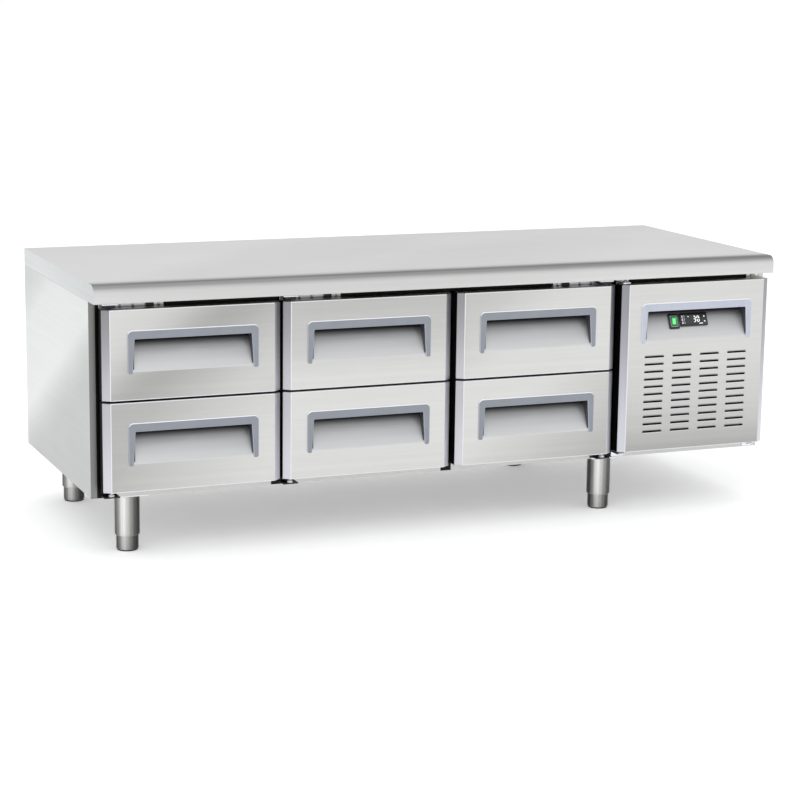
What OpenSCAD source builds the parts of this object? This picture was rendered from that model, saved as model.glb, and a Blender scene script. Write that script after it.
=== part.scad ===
// Low under counter fridge: six front drawers in three columns and a
// condensing unit behind a louvred panel at the right end.
// Frame: +Z up, front faces -Y, origin on the floor under the middle of the worktop.

/* [Overall] */
// Width over the worktop
total_w = 1795; // [1795:1:1840]
// Depth over the worktop
total_d = 700; // [700:1:760]
// Height from the floor to the worktop
total_h = 650; // [650:1:680]
// Height of the cabinet's underside above the floor
leg_h = 140; // [120:1:150]
// Height of the worktop's front edge
top_h = 44; // [40:1:50]
// Radius of the worktop's rounded front edge
nose_r = 19; // [12:1:22]

/* [Drawer fronts] */
// Width of one drawer front
front_w = 434; // [430:1:436]
// Height of one drawer front
front_h = 213; // [211:0.5:214]
// Gap between the upper and the lower front
row_gap = 5; // [3:0.5:8]
// Height of the lowest front edge above the cabinet's underside
front_lift = 20; // [18:1:24]
// Thickness of a front from its face to its rear edge
front_t = 40.2; // [38:0.1:41]
// Width of the bevel down each side of a front
bevel_w = 17; // [12:1:19]
// Depth of the same bevel
bevel_d = 12; // [8:1:13]
// Left edge of the first drawer column
col1_x = 21; // [19:0.5:22]
// Gap between the first and the second column
gap_12 = 6.5; // [5:0.5:8]
// Gap between the second and the third column
gap_23 = 15.5; // [14:0.5:16]

/* [Handle] */
// Outer width of the handle frame
handle_w = 318; // [300:1:330]
// Outer height of the handle frame
handle_h = 102; // [98:1:106]
// Height of the handle's top bar
bar_h = 21; // [18:1:24]
// Distance from the top of the front to the top of the handle
handle_drop = 49; // [46:1:52]
// Width of a handle leg at the top
leg_top_w = 17; // [15:1:18]
// Width of a handle leg at its foot
leg_foot_w = 12; // [10:1:14]
// How far the handle stands out from the front
handle_proud = 3; // [2:0.1:3.2]
// Height of the finger scoop behind the handle
scoop_h = 89; // [85:1:92]
// Depth of the finger scoop at its top
scoop_d = 37.7; // [30:0.1:38]

/* [Drawers] */
// How far a drawer slides out
travel = 530; // [400:10:530]
// Width of the food pan that a drawer carries
pan_w = 325; // [325:1:325]
// Length of the food pan
pan_l = 530; // [530:1:530]
// Depth of the food pan
pan_h = 150; // [100:50:150]

/* [Machine panel] */
// Width of the machine panel
panel_w = 424; // [420:1:428]
// Gap between the third column and the machine panel
gap_3m = 19; // [17:0.5:20]
// Columns of louvres
louvre_cols = 4; // [2:1:4]
// Rows of louvres
louvre_rows = 11; // [4:1:11]
// Length of a louvre
louvre_w = 55; // [40:1:62]
// Pitch of the louvre rows
louvre_pitch = 19.4; // [18:0.2:19.6]

/* [Legs] */
// Diameter of a leg sleeve
sleeve_d = 60; // [56:1:62]
// Diameter of an adjustable foot
foot_d = 53.4; // [50:0.1:53.6]
// How far a foot can be screwed out
foot_travel = 50; // [0:5:50]

/* [Hidden] */
$fn = 48;

// ---- derived places ----
x0 = -total_w / 2;              // left end of the worktop
y0 = -total_d / 2;              // front edge of the worktop
yb = total_d / 2;               // back
z_b = leg_h;                    // underside of the cabinet
z_t = total_h - top_h;          // underside of the worktop
y_body = y0 + 50;               // front face of the cabinet
y_face = y0 + 3.3;              // flat face of the fronts
y_rear = y_face + front_t;      // rear edge of the fronts
sheet = 1.2;
// columns, left edges and centres
cx_l = x0 + col1_x;
cx_m = cx_l + front_w + gap_12;
cx_r = cx_m + front_w + gap_23;
col_c = [cx_l + front_w / 2, cx_m + front_w / 2, cx_r + front_w / 2];
px = cx_r + front_w + gap_3m;   // left edge of the machine panel
// rows, lower edges
row_z = [z_b + front_lift, z_b + front_lift + front_h + row_gap];
panel_h = 2 * front_h + row_gap;
// drawer openings in the front frame
inset = 29;
open_w = front_w - 2 * inset;
open_h = 164;
open_z = [row_z[0] + 26, row_z[1] + 23];
// cold room
lin_x0 = x0 + 44;
lin_x1 = x0 + 1398;
lin_z0 = z_b + 43;
lin_z1 = z_t - 38;
lin_y1 = yb - 55;
cas_x1 = x0 + 1440;             // right face of the cold room's casing
// telescopic slides, measured outwards from a column's centre
side_in = pan_w / 2 + 1;        // inner face of a drawer frame's side
slide_dz = 125;                 // slide centre above the opening's lower edge
slide_y0 = y_body + 10;
slide_y1 = slide_y0 + 520;
// hinge pins of the machine panel
pin_x = px + 11;
pin_y = y_face + 15.7;
pin_r = 3;
// slope of the finger scoop
slope_a = atan2(scoop_h - 6, scoop_d);
// legs
leg_p = [[x0 + 98, y0 + 93], [x0 + 1354, y0 + 93], [x0 + 98, yb - 88], [x0 + 1354, yb - 88]];
// fans
efan = [x0 + 1336, y0 + 170, lin_z0 + 192];
cfan = [x0 + 1618, y0 + 152, z_b + 150];
// where the pipes cross the cold room's wall
port = [yb - 120, lin_z1 - 50];

// ---- helpers ----
module box(x1, x2, y1, y2, z1, z2) { translate([x1, y1, z1]) cube([x2 - x1, y2 - y1, z2 - z1]); }
module box_at(c, s) { translate([c[0] - s[0] / 2, c[1] - s[1] / 2, c[2] - s[2] / 2]) cube(s); }
// a solid with a YZ profile, running along X from x1 to x2
module along_x(x1, x2) { translate([x1, 0, 0]) rotate([90, 0, 90]) linear_extrude(x2 - x1) children(); }
// a rod between two points
module rod(a, b, r) {
    d = b - a; l = norm(d);
    translate(a) rotate([0, acos(d[2] / l), atan2(d[1], d[0])]) cylinder(h = l, r = r, $fn = 24);
}
// a bent pipe through a list of points
module pipe(p, r) {
    for (i = [0:len(p) - 2]) rod(p[i], p[i + 1], r);
    if (len(p) > 2) for (i = [1:len(p) - 2]) translate(p[i]) sphere(r + 0.4, $fn = 24);
}

// ---- fronts ----
module plan_2d(w, g, y_back) {
    polygon([[-w / 2 + g, y_back], [-w / 2 + g, y_face + bevel_d + g * 0.5], [-w / 2 + bevel_w + g * 0.5, y_face + g],
        [w / 2 - bevel_w - g * 0.5, y_face + g], [w / 2 - g, y_face + bevel_d + g * 0.5], [w / 2 - g, y_back]]);
}
// the finger scoop as a wedge, t wider on every side
module scoop(h, t) {
    s = (scoop_h - 6) / scoop_d; k = sqrt(1 + s * s);
    zs = h - handle_drop - handle_h + 7;          // lower edge of the scoop
    hw = handle_w / 2 - leg_foot_w - 1 + t;
    // the slope moved t towards the back
    y_at = y_face - 1;
    z_at = zs - s - t * k;
    z_end = zs + s * scoop_d - t * k + s * t;
    along_x(-hw, hw) polygon([[y_face - 8, z_at], [y_at, z_at], [y_face + scoop_d + t, z_end],
        [y_face + scoop_d + t, zs + scoop_h + t], [y_face - 8, zs + scoop_h + t]]);
}
// a pressed shell with a finger scoop, open at the back, standing on z = 0
module pressed_front(w, h) {
    difference() {
        linear_extrude(h) plan_2d(w, 0, y_rear);
        difference() {
            translate([0, 0, sheet]) linear_extrude(h - 2 * sheet) plan_2d(w, sheet, y_rear + 1);
            scoop(h, sheet);
        }
        scoop(h, 0);
    }
}
module handle_frame(h) {
    zt = h - handle_drop; zb = zt - handle_h; hw = handle_w / 2; r = 12;
    zs = zb + 7; s = (scoop_h - 6) / scoop_d;
    yp = y_face - handle_proud;
    difference() {
        union() {
            // front face: a bar with two tapered legs
            translate([0, y_face - 0.02, 0]) rotate([90, 0, 0]) linear_extrude(handle_proud - 0.02) difference() {
                union() {
                    translate([-hw, zb]) square([2 * hw, handle_h - r]);
                    translate([-hw + r, zb]) square([2 * (hw - r), handle_h]);
                    for (i = [-1, 1]) translate([i * (hw - r), zt - r]) circle(r);
                }
                polygon([[-hw + leg_foot_w, zb - 1], [-hw + leg_top_w, zt - bar_h], [hw - leg_top_w, zt - bar_h], [hw - leg_foot_w, zb - 1]]);
            }
            // grip behind the bar
            box(-hw + leg_foot_w + 1.5, hw - leg_foot_w - 1.5, yp + 0.5, y_face + 12, zt - bar_h, zs + scoop_h - 0.4);
            // cheeks that close the ends of the scoop
            for (i = [-1, 1]) translate([i * (hw - leg_foot_w - 2.6) - 1, 0, 0]) along_x(0, 2)
                polygon([[yp + 0.5, zs + 3], [y_face, zs + 3], [y_face + scoop_d - 1, zs + s * (scoop_d - 1) + 3],
                    [y_face + scoop_d - 1, zs + scoop_h - 0.4], [yp + 0.5, zs + scoop_h - 0.4]]);
        }
    }
}
module gasket_ring() {
    o = 8; g = 17;
    difference() {
        box(-front_w / 2 + o, front_w / 2 - o, y_rear + 1.5, y_body - 0.2, o, front_h - o);
        box(-front_w / 2 + o + g, front_w / 2 - o - g, y_rear + 1, y_body + 1, o + g, front_h - o - g);
        // bellows groove round the side
        difference() {
            box(-front_w, front_w, y_rear + 3.2, y_rear + 4.2, -1, front_h + 1);
            box(-front_w / 2 + o + 2, front_w / 2 - o - 2, y_rear + 3, y_rear + 5, o + 2, front_h - o - 2);
        }
    }
}
// drawer frame: inner plate, sides with the inner slide members, and ledges for the pan
module drawer_carriage(dz) {
    zc = dz + slide_dz; y1 = slide_y1 + 3;
    difference() {
        union() {
            box(-front_w / 2 + 2, front_w / 2 - 2, y_rear, y_rear + 1.5, 2, front_h - 2);
            for (i = [-1, 1]) mirror([i < 0 ? 1 : 0, 0, 0]) {
                box(side_in, side_in + 1.5, y_rear + 1, y1, zc - 22, dz + 152);
                box(side_in - 10, side_in + 1, y_rear + 1, y1, dz + 147.5, dz + 149);
                for (k = [-1, 1]) translate([0, 0, zc + k * 15.75]) box(side_in + 1, side_in + 11, slide_y0, y1 - 3, -0.75, 0.75);
            }
            box(-side_in, side_in, y_rear + 1, y_rear + 26, dz + 147.5, dz + 149);
            box(-side_in - 1, side_in + 1, y1 - 12, y1, dz + 147.5, dz + 149);
            box(-side_in - 1, side_in + 1, y1 - 1.5, y1, zc - 22, dz + 152);
        }
        // lightening holes in the rear strip
        for (i = [-3:3]) translate([i * 44, y1 + 1, zc - 6]) rotate([90, 0, 0]) cylinder(h = 4, r = 7, $fn = 24);
    }
}
module channel(xo, d, h, y1, y2, t) {
    // open towards the column's centre
    difference() {
        box(xo - d, xo, y1, y2, -h / 2, h / 2);
        box(xo - d - 1, xo - t, y1 - 1, y2 + 1, -h / 2 + t, h / 2 - t);
    }
}
module middle_slide_pair(dz) {
    for (i = [-1, 1]) mirror([i < 0 ? 1 : 0, 0, 0]) translate([0, 0, dz + slide_dz]) difference() {
        channel(side_in + 14, 9, 39, slide_y0, slide_y1 - 10, 1.5);
        for (y = [slide_y0 + 40:110:slide_y1 - 40]) translate([side_in + 5, y, 0]) rotate([0, 90, 0]) cylinder(h = 12, r = 5, $fn = 24);
    }
}
module place(c, r) { translate([col_c[c], 0, row_z[r]]) children(); }
function dz(r) = open_z[r] - row_z[r];
module drawer_front(c, r) { color("#c9c9c6") place(c, r) pressed_front(front_w, front_h); }
module drawer_handle(c, r) { color("#8f95a3") place(c, r) handle_frame(front_h); }
module drawer_gasket(c, r) { color("#202022") place(c, r) gasket_ring(); }
module drawer_frame(c, r) { color("#b4b6b8") place(c, r) drawer_carriage(dz(r)); }
module middle_slides(c, r) { color("#a0a4a8") place(c, r) middle_slide_pair(dz(r)); }

// ---- cabinet ----
module worktop_profile(t) {
    translate([y0 + nose_r, z_t + top_h - nose_r]) circle(nose_r - t);
    translate([y0 + t, z_t + (t > 0 ? t : 0)]) square([nose_r * 2, top_h - nose_r - t]);
    translate([y0 + nose_r, z_t + (t > 0 ? t : 0)]) square([total_d - nose_r - t, top_h - 2 * t]);
    if (t > 0) translate([y0 + 26, z_t - 1]) square([total_d - 26 - t, 4]);
}
module worktop() {
    color("#d6d6d4") difference() {
        along_x(x0, -x0) worktop_profile(0);
        along_x(x0 + 1.5, -x0 - 1.5) worktop_profile(1.5);
    }
}
module cabinet_casing() {
    color("#d0d1d1") difference() {
        union() {
            box(x0, cas_x1, y_body + 2, yb, z_b, z_t);
            box(x0 + 1, -x0, y_body + 2, yb, z_b, z_b + sheet);
        }
        box(x0 + sheet, cas_x1 - sheet, y_body, yb - sheet, z_b + sheet, z_t + 1);
        // pipe port in the partition
        translate([cas_x1 - 5, port[0], port[1]]) rotate([0, 90, 0]) cylinder(h = 10, r = 16);
        // mains cable hole is in the rear grille, air slots in the machine floor
        for (i = [0:6]) box(cas_x1 + 60 + i * 40, cas_x1 + 80 + i * 40, yb - 160, yb - 60, z_b - 1, z_b + 5);
    }
}
module front_frame() {
    color("#c4c5c5") difference() {
        union() {
            box(x0, -x0, y_body, y_body + 2, z_b, z_t);
            // mullions between the columns
            for (i = [0, 1]) box(col_c[i] + open_w / 2 + 2, col_c[i + 1] - open_w / 2 - 2, y_body + 1, y_body + 45, lin_z0 + 3, lin_z1 - 3);
            // posts at the machine bay
            box(px + 6, px + 74, y_body + 1, y_body + 1.9, z_b, z_t);
            // middle rails between the rows
            for (i = [0:2]) box(col_c[i] - open_w / 2 - 1, col_c[i] + open_w / 2 + 1, y_body + 1, y_body + 22, open_z[0] + open_h + 3, open_z[1] - 3);
        }
        for (i = [0, 1]) box(col_c[i] + open_w / 2 + 4, col_c[i + 1] - open_w / 2 - 4, y_body + 3, y_body + 43, lin_z0 + 2, lin_z1 - 2);
        for (i = [0:2]) box(col_c[i] - open_w / 2 - 2.5, col_c[i] + open_w / 2 + 2.5, y_body + 3, y_body + 20.5, open_z[0] + open_h + 4.5, open_z[1] - 4.5);
        for (i = [0:2]) for (r = [0, 1])
            box(col_c[i] - open_w / 2, col_c[i] + open_w / 2, y_body - 1, y_body + 60, open_z[r], open_z[r] + open_h);
        box(px + 84, -x0 - 14, y_body - 1, y_body + 10, z_b + 16, z_t - 16);
    }
}
module insulation_foam() {
    color("#e7d9a8") {
        difference() {
            box(x0 + sheet + 0.3, cas_x1 - sheet - 0.3, y_body + 2.3, yb - sheet - 0.3, z_b + sheet + 0.3, z_t - 0.3);
            box(lin_x0 - 1.3, lin_x1 + 1.3, y_body, lin_y1 + 1.3, lin_z0 - 1.3, lin_z1 + 1.3);
            translate([lin_x1 - 1, port[0], port[1]]) rotate([0, 90, 0]) cylinder(h = 60, r = 16);
        }
        // board that stiffens the worktop
        box(x0 + 2, -x0 - 2, y0 + 27, yb - 2, z_t + 0.3, z_t + top_h - 2);
    }
}
module inner_liner() {
    color("#bcc0c3") difference() {
        box(lin_x0 - 1, lin_x1 + 1, y_body + 2.3, lin_y1 + 1, lin_z0 - 1, lin_z1 + 1);
        box(lin_x0, lin_x1, y_body, lin_y1, lin_z0, lin_z1);
        translate([lin_x1 - 1, port[0], port[1]]) rotate([0, 90, 0]) cylinder(h = 10, r = 16);
        // drain
        translate([lin_x1 - 30, yb - 90, lin_z0 - 5]) cylinder(h = 10, r = 8);
    }
}
module slide_racks() {
    xo = side_in + 17;                     // outer face of the fixed rails
    color("#aeb2b5") for (c = [0:2]) for (i = [-1, 1]) translate([col_c[c], 0, 0]) mirror([i < 0 ? 1 : 0, 0, 0]) {
        for (y = [slide_y0 + 56, slide_y1 - 46]) difference() {
            box(xo - 0.5, xo + 10, y, y + 26, lin_z0 + 0.2, lin_z1 - 0.2);
            box(xo + 1, xo + 11, y + 1.5, y + 24.5, lin_z0 - 1, lin_z1 + 1);
            for (z = [lin_z0 + 20:30:lin_z1 - 20]) box(xo - 2, xo + 4, y + 9, y + 17, z, z + 10);
        }
        for (r = [0, 1]) translate([0, 0, open_z[r] + slide_dz]) channel(xo, 11.5, 45, slide_y0 - 2, slide_y1, 1.5);
    }
}

// ---- hinge hardware, one group ----
module top_plate(xa, xb, n) {
    union() {
        box(xa, xb, y_body - 2, y_body, z_t - 20, z_t - 1);
        box(xa, xa + 38, y_body - 32, y_body - 1, z_t - 6, z_t - 3);
        for (i = [0:n - 1]) translate([xa + 50 + i * (xb - xa - 62) / max(n - 1, 1), y_body - 1, z_t - 13]) rotate([90, 0, 0]) cylinder(h = 2.6, r = 3.6, $fn = 24);
    }
}
module bottom_plate(xa, xb) {
    union() {
        box(xa, xb, y_body - 2, y_body, z_b + 2, z_b + 17);
        box(xa, xb, y_body - 36, y_body - 1, z_b + 6, z_b + 9);
        translate([(xa + xb) / 2, y_body - 28, z_b + 8]) cylinder(h = 6, r = 7, $fn = 32);
        translate([(xa + xb) / 2, y_body - 28, z_b + 8]) cylinder(h = 10, r = 3.5, $fn = 32);
    }
}
module hinge_brackets() {
    zp = row_z[0]; zq = row_z[0] + panel_h;
    color("#c4c8cc") {
        top_plate(cx_l + 3, cx_l + 158, 4);
        top_plate(cx_m + 3, cx_m + 158, 4);
        translate([cx_r + front_w - 3, 0, 0]) mirror([1, 0, 0]) top_plate(0, 155, 4);
        bottom_plate(cx_l + 2, cx_l + 40);
        bottom_plate(cx_m + 2, cx_m + 40);
        bottom_plate(cx_r + front_w - 40, cx_r + front_w - 2);
        // pivots of the machine panel
        union() {
            box(px + 1, px + 36, y_body - 2, y_body, z_t - 20, z_t - 1);
            box(px + 1, px + 22, y_body - 40, y_body - 1, zq + 3, zq + 6);
            translate([pin_x, pin_y, zq - 14]) cylinder(h = 18, r = pin_r, $fn = 32);
        }
        union() {
            box(px + 1, px + 36, y_body - 2, y_body, z_b + 2, zp - 2);
            box(px + 1, px + 22, y_body - 40, y_body - 1, zp - 6, zp - 3);
            translate([pin_x, pin_y, zp - 5]) cylinder(h = 19, r = pin_r, $fn = 32);
        }
        // catch plates at the panel's free edge
        union() {
            box(px + panel_w - 44, px + panel_w - 10, y_body - 2, y_body, z_t - 20, z_t - 1);
            translate([px + panel_w - 26, y_body - 1, z_t - 11]) rotate([90, 0, 0]) cylinder(h = 3.4, r = 6.5, $fn = 32);
        }
        union() {
            box(px + panel_w - 36, px + panel_w - 10, y_body - 2, y_body, z_b + 2, zp - 2);
            box(px + panel_w - 30, px + panel_w - 16, y_body - 24, y_body - 1, z_b + 10, z_b + 13);
        }
    }
}

// ---- legs ----
module leg_sleeves() {
    color("#b9bbbd") for (p = leg_p) translate([p[0], p[1], 0]) difference() {
        union() {
            translate([0, 0, 40]) cylinder(h = z_b - 42, r = sleeve_d / 2);
            translate([0, 0, 37]) cylinder(h = 3.01, r1 = sleeve_d / 2 - 2, r2 = sleeve_d / 2);
            translate([-42, -42, z_b - 3]) cube([84, 84, 3]);
        }
        translate([0, 0, 30]) cylinder(h = z_b - 38, r = foot_d / 2 + 0.05);
    }
}
module foot(i) {
    color("#9ea1a4") translate([leg_p[i][0], leg_p[i][1], 0]) difference() {
        union() {
            cylinder(h = 3, r1 = foot_d / 2 - 3.5, r2 = foot_d / 2 - 1.5);
            translate([0, 0, 2.9]) cylinder(h = z_b - 40, r = foot_d / 2);
        }
        translate([0, 0, 8]) cylinder(h = z_b, r = foot_d / 2 - 2.5);
    }
}

// ---- machine bay ----
module machine_side_panel() {
    color("#cfd0d0") difference() {
        union() {
            box(-x0 - sheet, -x0, y_body + 2, yb, z_b + sheet, z_t);
            box(-x0 - 14, -x0 - sheet + 0.1, y_body + 2, y_body + 3.2, z_b + sheet, z_t);
        }
        for (k = [0:9]) for (j = [0:2]) box(-x0 - 2, -x0 + 1, yb - 260 + j * 76, yb - 200 + j * 76, z_b + 60 + k * 24, z_b + 66 + k * 24);
    }
}
module rear_grille() {
    color("#c6c7c8") difference() {
        box(cas_x1, -x0 - sheet, yb - sheet, yb, z_b + sheet, z_t);
        for (k = [0:11]) for (j = [0:3]) box(cas_x1 + 34 + j * 78, cas_x1 + 92 + j * 78, yb - 3, yb + 1, z_b + 70 + k * 26, z_b + 76 + k * 26);
        translate([-x0 - 60, yb + 1, z_b + 38]) rotate([90, 0, 0]) cylinder(h = 5, r = 9);
    }
}
lv_x = [for (i = [0:louvre_cols - 1]) (i - (louvre_cols - 1) / 2) * 80.1 + 1];
lv_z = [for (j = [0:louvre_rows - 1]) 241.6 - j * louvre_pitch];
sw_x = -57;          // switch centre along the panel
ct_x = 0;            // controller centre along the panel
zs_p = panel_h - handle_drop - handle_h + 7;
// a place on the scoop's slope, s up from its lower edge; +Z points out of the slope
module on_slope(x, s) {
    translate([px + panel_w / 2 + x, y_face + s * cos(slope_a), row_z[0] + zs_p + s * sin(slope_a)]) rotate([slope_a, 0, 0]) children();
}
module machine_panel() {
    color("#d2d2d0") difference() {
        union() {
            translate([px + panel_w / 2, 0, row_z[0]]) difference() {
                union() {
                    pressed_front(panel_w, panel_h);
                    // louvres pressed inwards, each sloping back to its slot
                    for (x = lv_x) for (z = lv_z) translate([x - louvre_w / 2, 0, z]) along_x(0, louvre_w)
                        polygon([[y_face + 0.4, 9.6], [y_face + 6.4, 1], [y_face + 7.6, 1], [y_face + 1.1, 10.4], [y_face + 0.4, 10.4]]);
                }
                for (x = lv_x) for (z = lv_z) translate([x - louvre_w / 2 + 1.2, 0, z]) along_x(0, louvre_w - 2.4)
                    polygon([[y_face - 1, 0], [y_face + 7.2, 0], [y_face + 6.4, 1], [y_face + 0.4, 9.6], [y_face - 1, 9.6]]);
            }
            // bushes for the hinge pins
            for (z = [row_z[0] + 0.5, row_z[0] + panel_h - 15.5]) box(px + 0.5, px + 22, pin_y - 7, pin_y + 12, z, z + 15);
        }
        translate([pin_x, pin_y, row_z[0] - 1]) cylinder(h = panel_h + 2, r = pin_r + 0.05, $fn = 32);
        // everything in front of the bevel is cut away from the bushes
        translate([px + panel_w / 2, 0, row_z[0] - 1]) linear_extrude(panel_h + 2) polygon([[-panel_w / 2 - 1, y_face - 9],
            [-panel_w / 2 - 1, y_face + bevel_d + 0.72], [-panel_w / 2 + bevel_w - 0.01, y_face - 0.007], [-panel_w / 2 + bevel_w - 0.01, y_face - 9]]);
        // cut-outs for the controller and the switch
        on_slope(ct_x, 48.4) box_at([0, 0, 0], [71.4, 29.4, 30]);
        on_slope(sw_x, 46) box_at([0, 0, 0], [22.4, 30.4, 30]);
    }
}
module machine_panel_handle() {
    color("#c8ccd8") translate([px + panel_w / 2, 0, row_z[0]]) handle_frame(panel_h);
}
key_x = 31; key_y = 7; key_w = 8; key_h = 8;
module controller_body() {
    color("#1d1e20") difference() {
        union() {
            on_slope(ct_x, 48.4) box_at([0, 0, 2.3], [80, 35, 4.4]);
            on_slope(ct_x, 48.4) box_at([0, 0, -22], [71, 29, 46]);
        }
        for (k = [-1, 1]) on_slope(ct_x + key_x, 48.4) box_at([0, k * key_y, 3], [key_w + 0.4, key_h + 0.4, 6]);
        // sunk display window
        on_slope(ct_x, 48.4) box_at([-4, 0, 4.6], [44, 22, 1.2]);
    }
}
module control_key(k) {
    color("#3a3c40") on_slope(ct_x + key_x, 48.4) box_at([0, k * key_y, 3], [key_w, key_h, 3.6]);
}
module switch_bezel() {
    color("#17181a") difference() {
        union() {
            on_slope(sw_x, 46) box_at([0, 0, 1.8], [29, 40, 3.5]);
            on_slope(sw_x, 46) box_at([0, 0, -12], [22, 30, 26]);
        }
        on_slope(sw_x, 46) box_at([0, 0, 0], [17, 26, 18]);
        on_slope(sw_x, 46) translate([-10, 0, 1]) rotate([0, 90, 0]) cylinder(h = 20, r = 1.55, $fn = 24);
    }
}
module switch_rocker() {
    color("#2fae4a") on_slope(sw_x, 46) translate([0, 0, 1]) rotate([8, 0, 0]) union() {
        rotate([90, 0, 90]) translate([0, 0, -8]) linear_extrude(16)
            polygon([[-12, 3.4], [0, 2.2], [12, 3.4], [11.4, -1], [4, -5], [-4, -5], [-11.4, -1]]);
        translate([-9.5, 0, 0]) rotate([0, 90, 0]) cylinder(h = 19, r = 1.5, $fn = 24);
    }
}

// ---- cooling ----
module fan_rotor(r, hub, n, t) {
    // blades about +Z, hub bored for its shaft
    difference() {
        union() {
            cylinder(h = t, r = hub);
            for (i = [0:n - 1]) rotate([0, 0, i * 360 / n]) translate([0, 0, t / 2]) rotate([28, 0, 0])
                translate([0, -hub * 0.62, -0.9]) cube([r * 0.965, hub * 1.24, 1.8]);
        }
        translate([0, 0, -1]) cylinder(h = t - 3, r = 3.05, $fn = 32);
        // blade tips follow the ring
        translate([0, 0, -r]) difference() {
            cylinder(h = 2 * r, r = 2 * r);
            translate([0, 0, -1]) cylinder(h = 2 * r + 2, r = r);
        }
    }
}
module evaporator_fan_duct() {
    xd = lin_x0 + 1279.5;
    color("#aab0b4") difference() {
        union() {
            difference() {
                box(xd, xd + 1.5, y_body + 60, lin_y1 - 0.5, lin_z0 + 0.3, lin_z1 - 0.3);
                for (k = [0:7]) for (j = [0:3]) box(xd - 1, xd + 3, efan[1] + 150 + j * 62, efan[1] + 196 + j * 62, lin_z0 + 40 + k * 38, lin_z0 + 50 + k * 38);
            }
            translate([xd, efan[1], efan[2]]) rotate([0, 90, 0]) cylinder(h = 26, r = 84);
        }
        translate([xd - 1, efan[1], efan[2]]) rotate([0, 90, 0]) cylinder(h = 40, r = 80);
    }
    // motor on a bar across the back of the ring, with its shaft
    color("#5c6064") union() {
        translate([xd + 32, efan[1], efan[2]]) rotate([0, 90, 0]) cylinder(h = 30, r = 22);
        box(xd + 30, xd + 33, efan[1] - 90, efan[1] + 90, efan[2] - 8, efan[2] + 8);
        for (k = [-1, 1]) box(xd + 1, xd + 31, efan[1] + k * 88 - 2, efan[1] + k * 88 + 2, efan[2] - 8, efan[2] + 8);
        translate([xd + 14, efan[1], efan[2]]) rotate([0, 90, 0]) cylinder(h = 20, r = 3, $fn = 32);
    }
}
module evaporator_fan_blade() {
    color("#303236") translate([lin_x0 + 1279.5 + 6, efan[1], efan[2]]) rotate([0, 90, 0]) mirror([0, 0, 1]) translate([0, 0, -18]) fan_rotor(76, 20, 5, 16);
}
// a finned block with tubes through it; fins stand along X
module finned(x1, x2, y1, y2, z1, z2, pitch, rows, cols) {
    n = floor((x2 - x1) / pitch);
    union() {
        for (i = [0:n]) box(x1 + i * pitch, x1 + i * pitch + 1, y1, y2, z1, z2);
        for (j = [0:rows - 1]) for (k = [0:cols - 1])
            translate([x1 - 9, y1 + (k + 0.5) * (y2 - y1) / cols, z1 + (j + 0.5) * (z2 - z1) / rows]) rotate([0, 90, 0]) cylinder(h = n * pitch + 19, r = 4.5, $fn = 24);
        // return bends drawn as headers at both ends
        for (k = [0:cols - 1]) for (x = [x1 - 9, x1 + n * pitch + 4]) 
            box(x, x + 6, y1 + (k + 0.5) * (y2 - y1) / cols - 3, y1 + (k + 0.5) * (y2 - y1) / cols + 3, z1 + 0.5 * (z2 - z1) / rows, z2 - 0.5 * (z2 - z1) / rows);
    }
}
module evaporator_coil() {
    // fins stand along Y inside the duct
    color("#b8bcc0") translate([lin_x0 + 1290, 0, 0]) rotate([0, 0, 90]) finned(y0 + 300, lin_y1 - 40, -56, -4, lin_z0 + 60, lin_z1 - 70, 12, 5, 2);
}
module condenser_coil() {
    a = cfan[0];
    color("#8d9195") finned(a - 140, a + 140, y_body + 26, y_body + 70, z_b + 16, z_b + 286, 10, 7, 2);
    // fan shroud and motor bracket behind the coil
    color("#3b3d40") union() {
        difference() {
            box(a - 148, a + 148, y_body + 71, y_body + 73, z_b + 14, z_b + 290);
            translate([a, y_body + 60, cfan[2]]) rotate([-90, 0, 0]) cylinder(h = 30, r = 122);
        }
        difference() {
            translate([a, y_body + 71, cfan[2]]) rotate([-90, 0, 0]) cylinder(h = 34, r = 125);
            translate([a, y_body + 60, cfan[2]]) rotate([-90, 0, 0]) cylinder(h = 60, r = 122);
        }
        box(a - 124, a + 124, y_body + 101, y_body + 104, cfan[2] - 10, cfan[2] + 10);
        translate([a, y_body + 103, cfan[2]]) rotate([-90, 0, 0]) cylinder(h = 52, r = 30);
        translate([a, y_body + 84, cfan[2]]) rotate([-90, 0, 0]) cylinder(h = 20, r = 3, $fn = 32);
    }
}
module condenser_fan_blade() {
    color("#aeb3b7") translate([cfan[0], y_body + 97, cfan[2]]) rotate([90, 0, 0]) translate([0, 0, 0]) fan_rotor(116, 26, 5, 18);
}
cmp = [x0 + 1560, yb - 150, z_b + sheet];
module compressor() {
    color("#2b2d30") translate(cmp) union() {
        translate([0, 0, 26]) rotate_extrude() polygon([[0, 0], [62, 0], [74, 14], [78, 34], [78, 84], [82, 86], [82, 92], [78, 94], [76, 128], [60, 152], [30, 160], [0, 162]]);
        for (i = [-1, 1]) box(i * 62 - 14, i * 62 + 14, -95, 95, 14, 17);
        for (i = [-1, 1]) for (k = [-1, 1]) translate([i * 62, k * 82, 0.3]) cylinder(h = 15, r = 12, $fn = 32);
        for (i = [-1, 1]) box(i * 62 - 3, i * 62 + 3, -40, 40, 15, 45);
        box(60, 98, -30, 30, 60, 116);
    }
}
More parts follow.
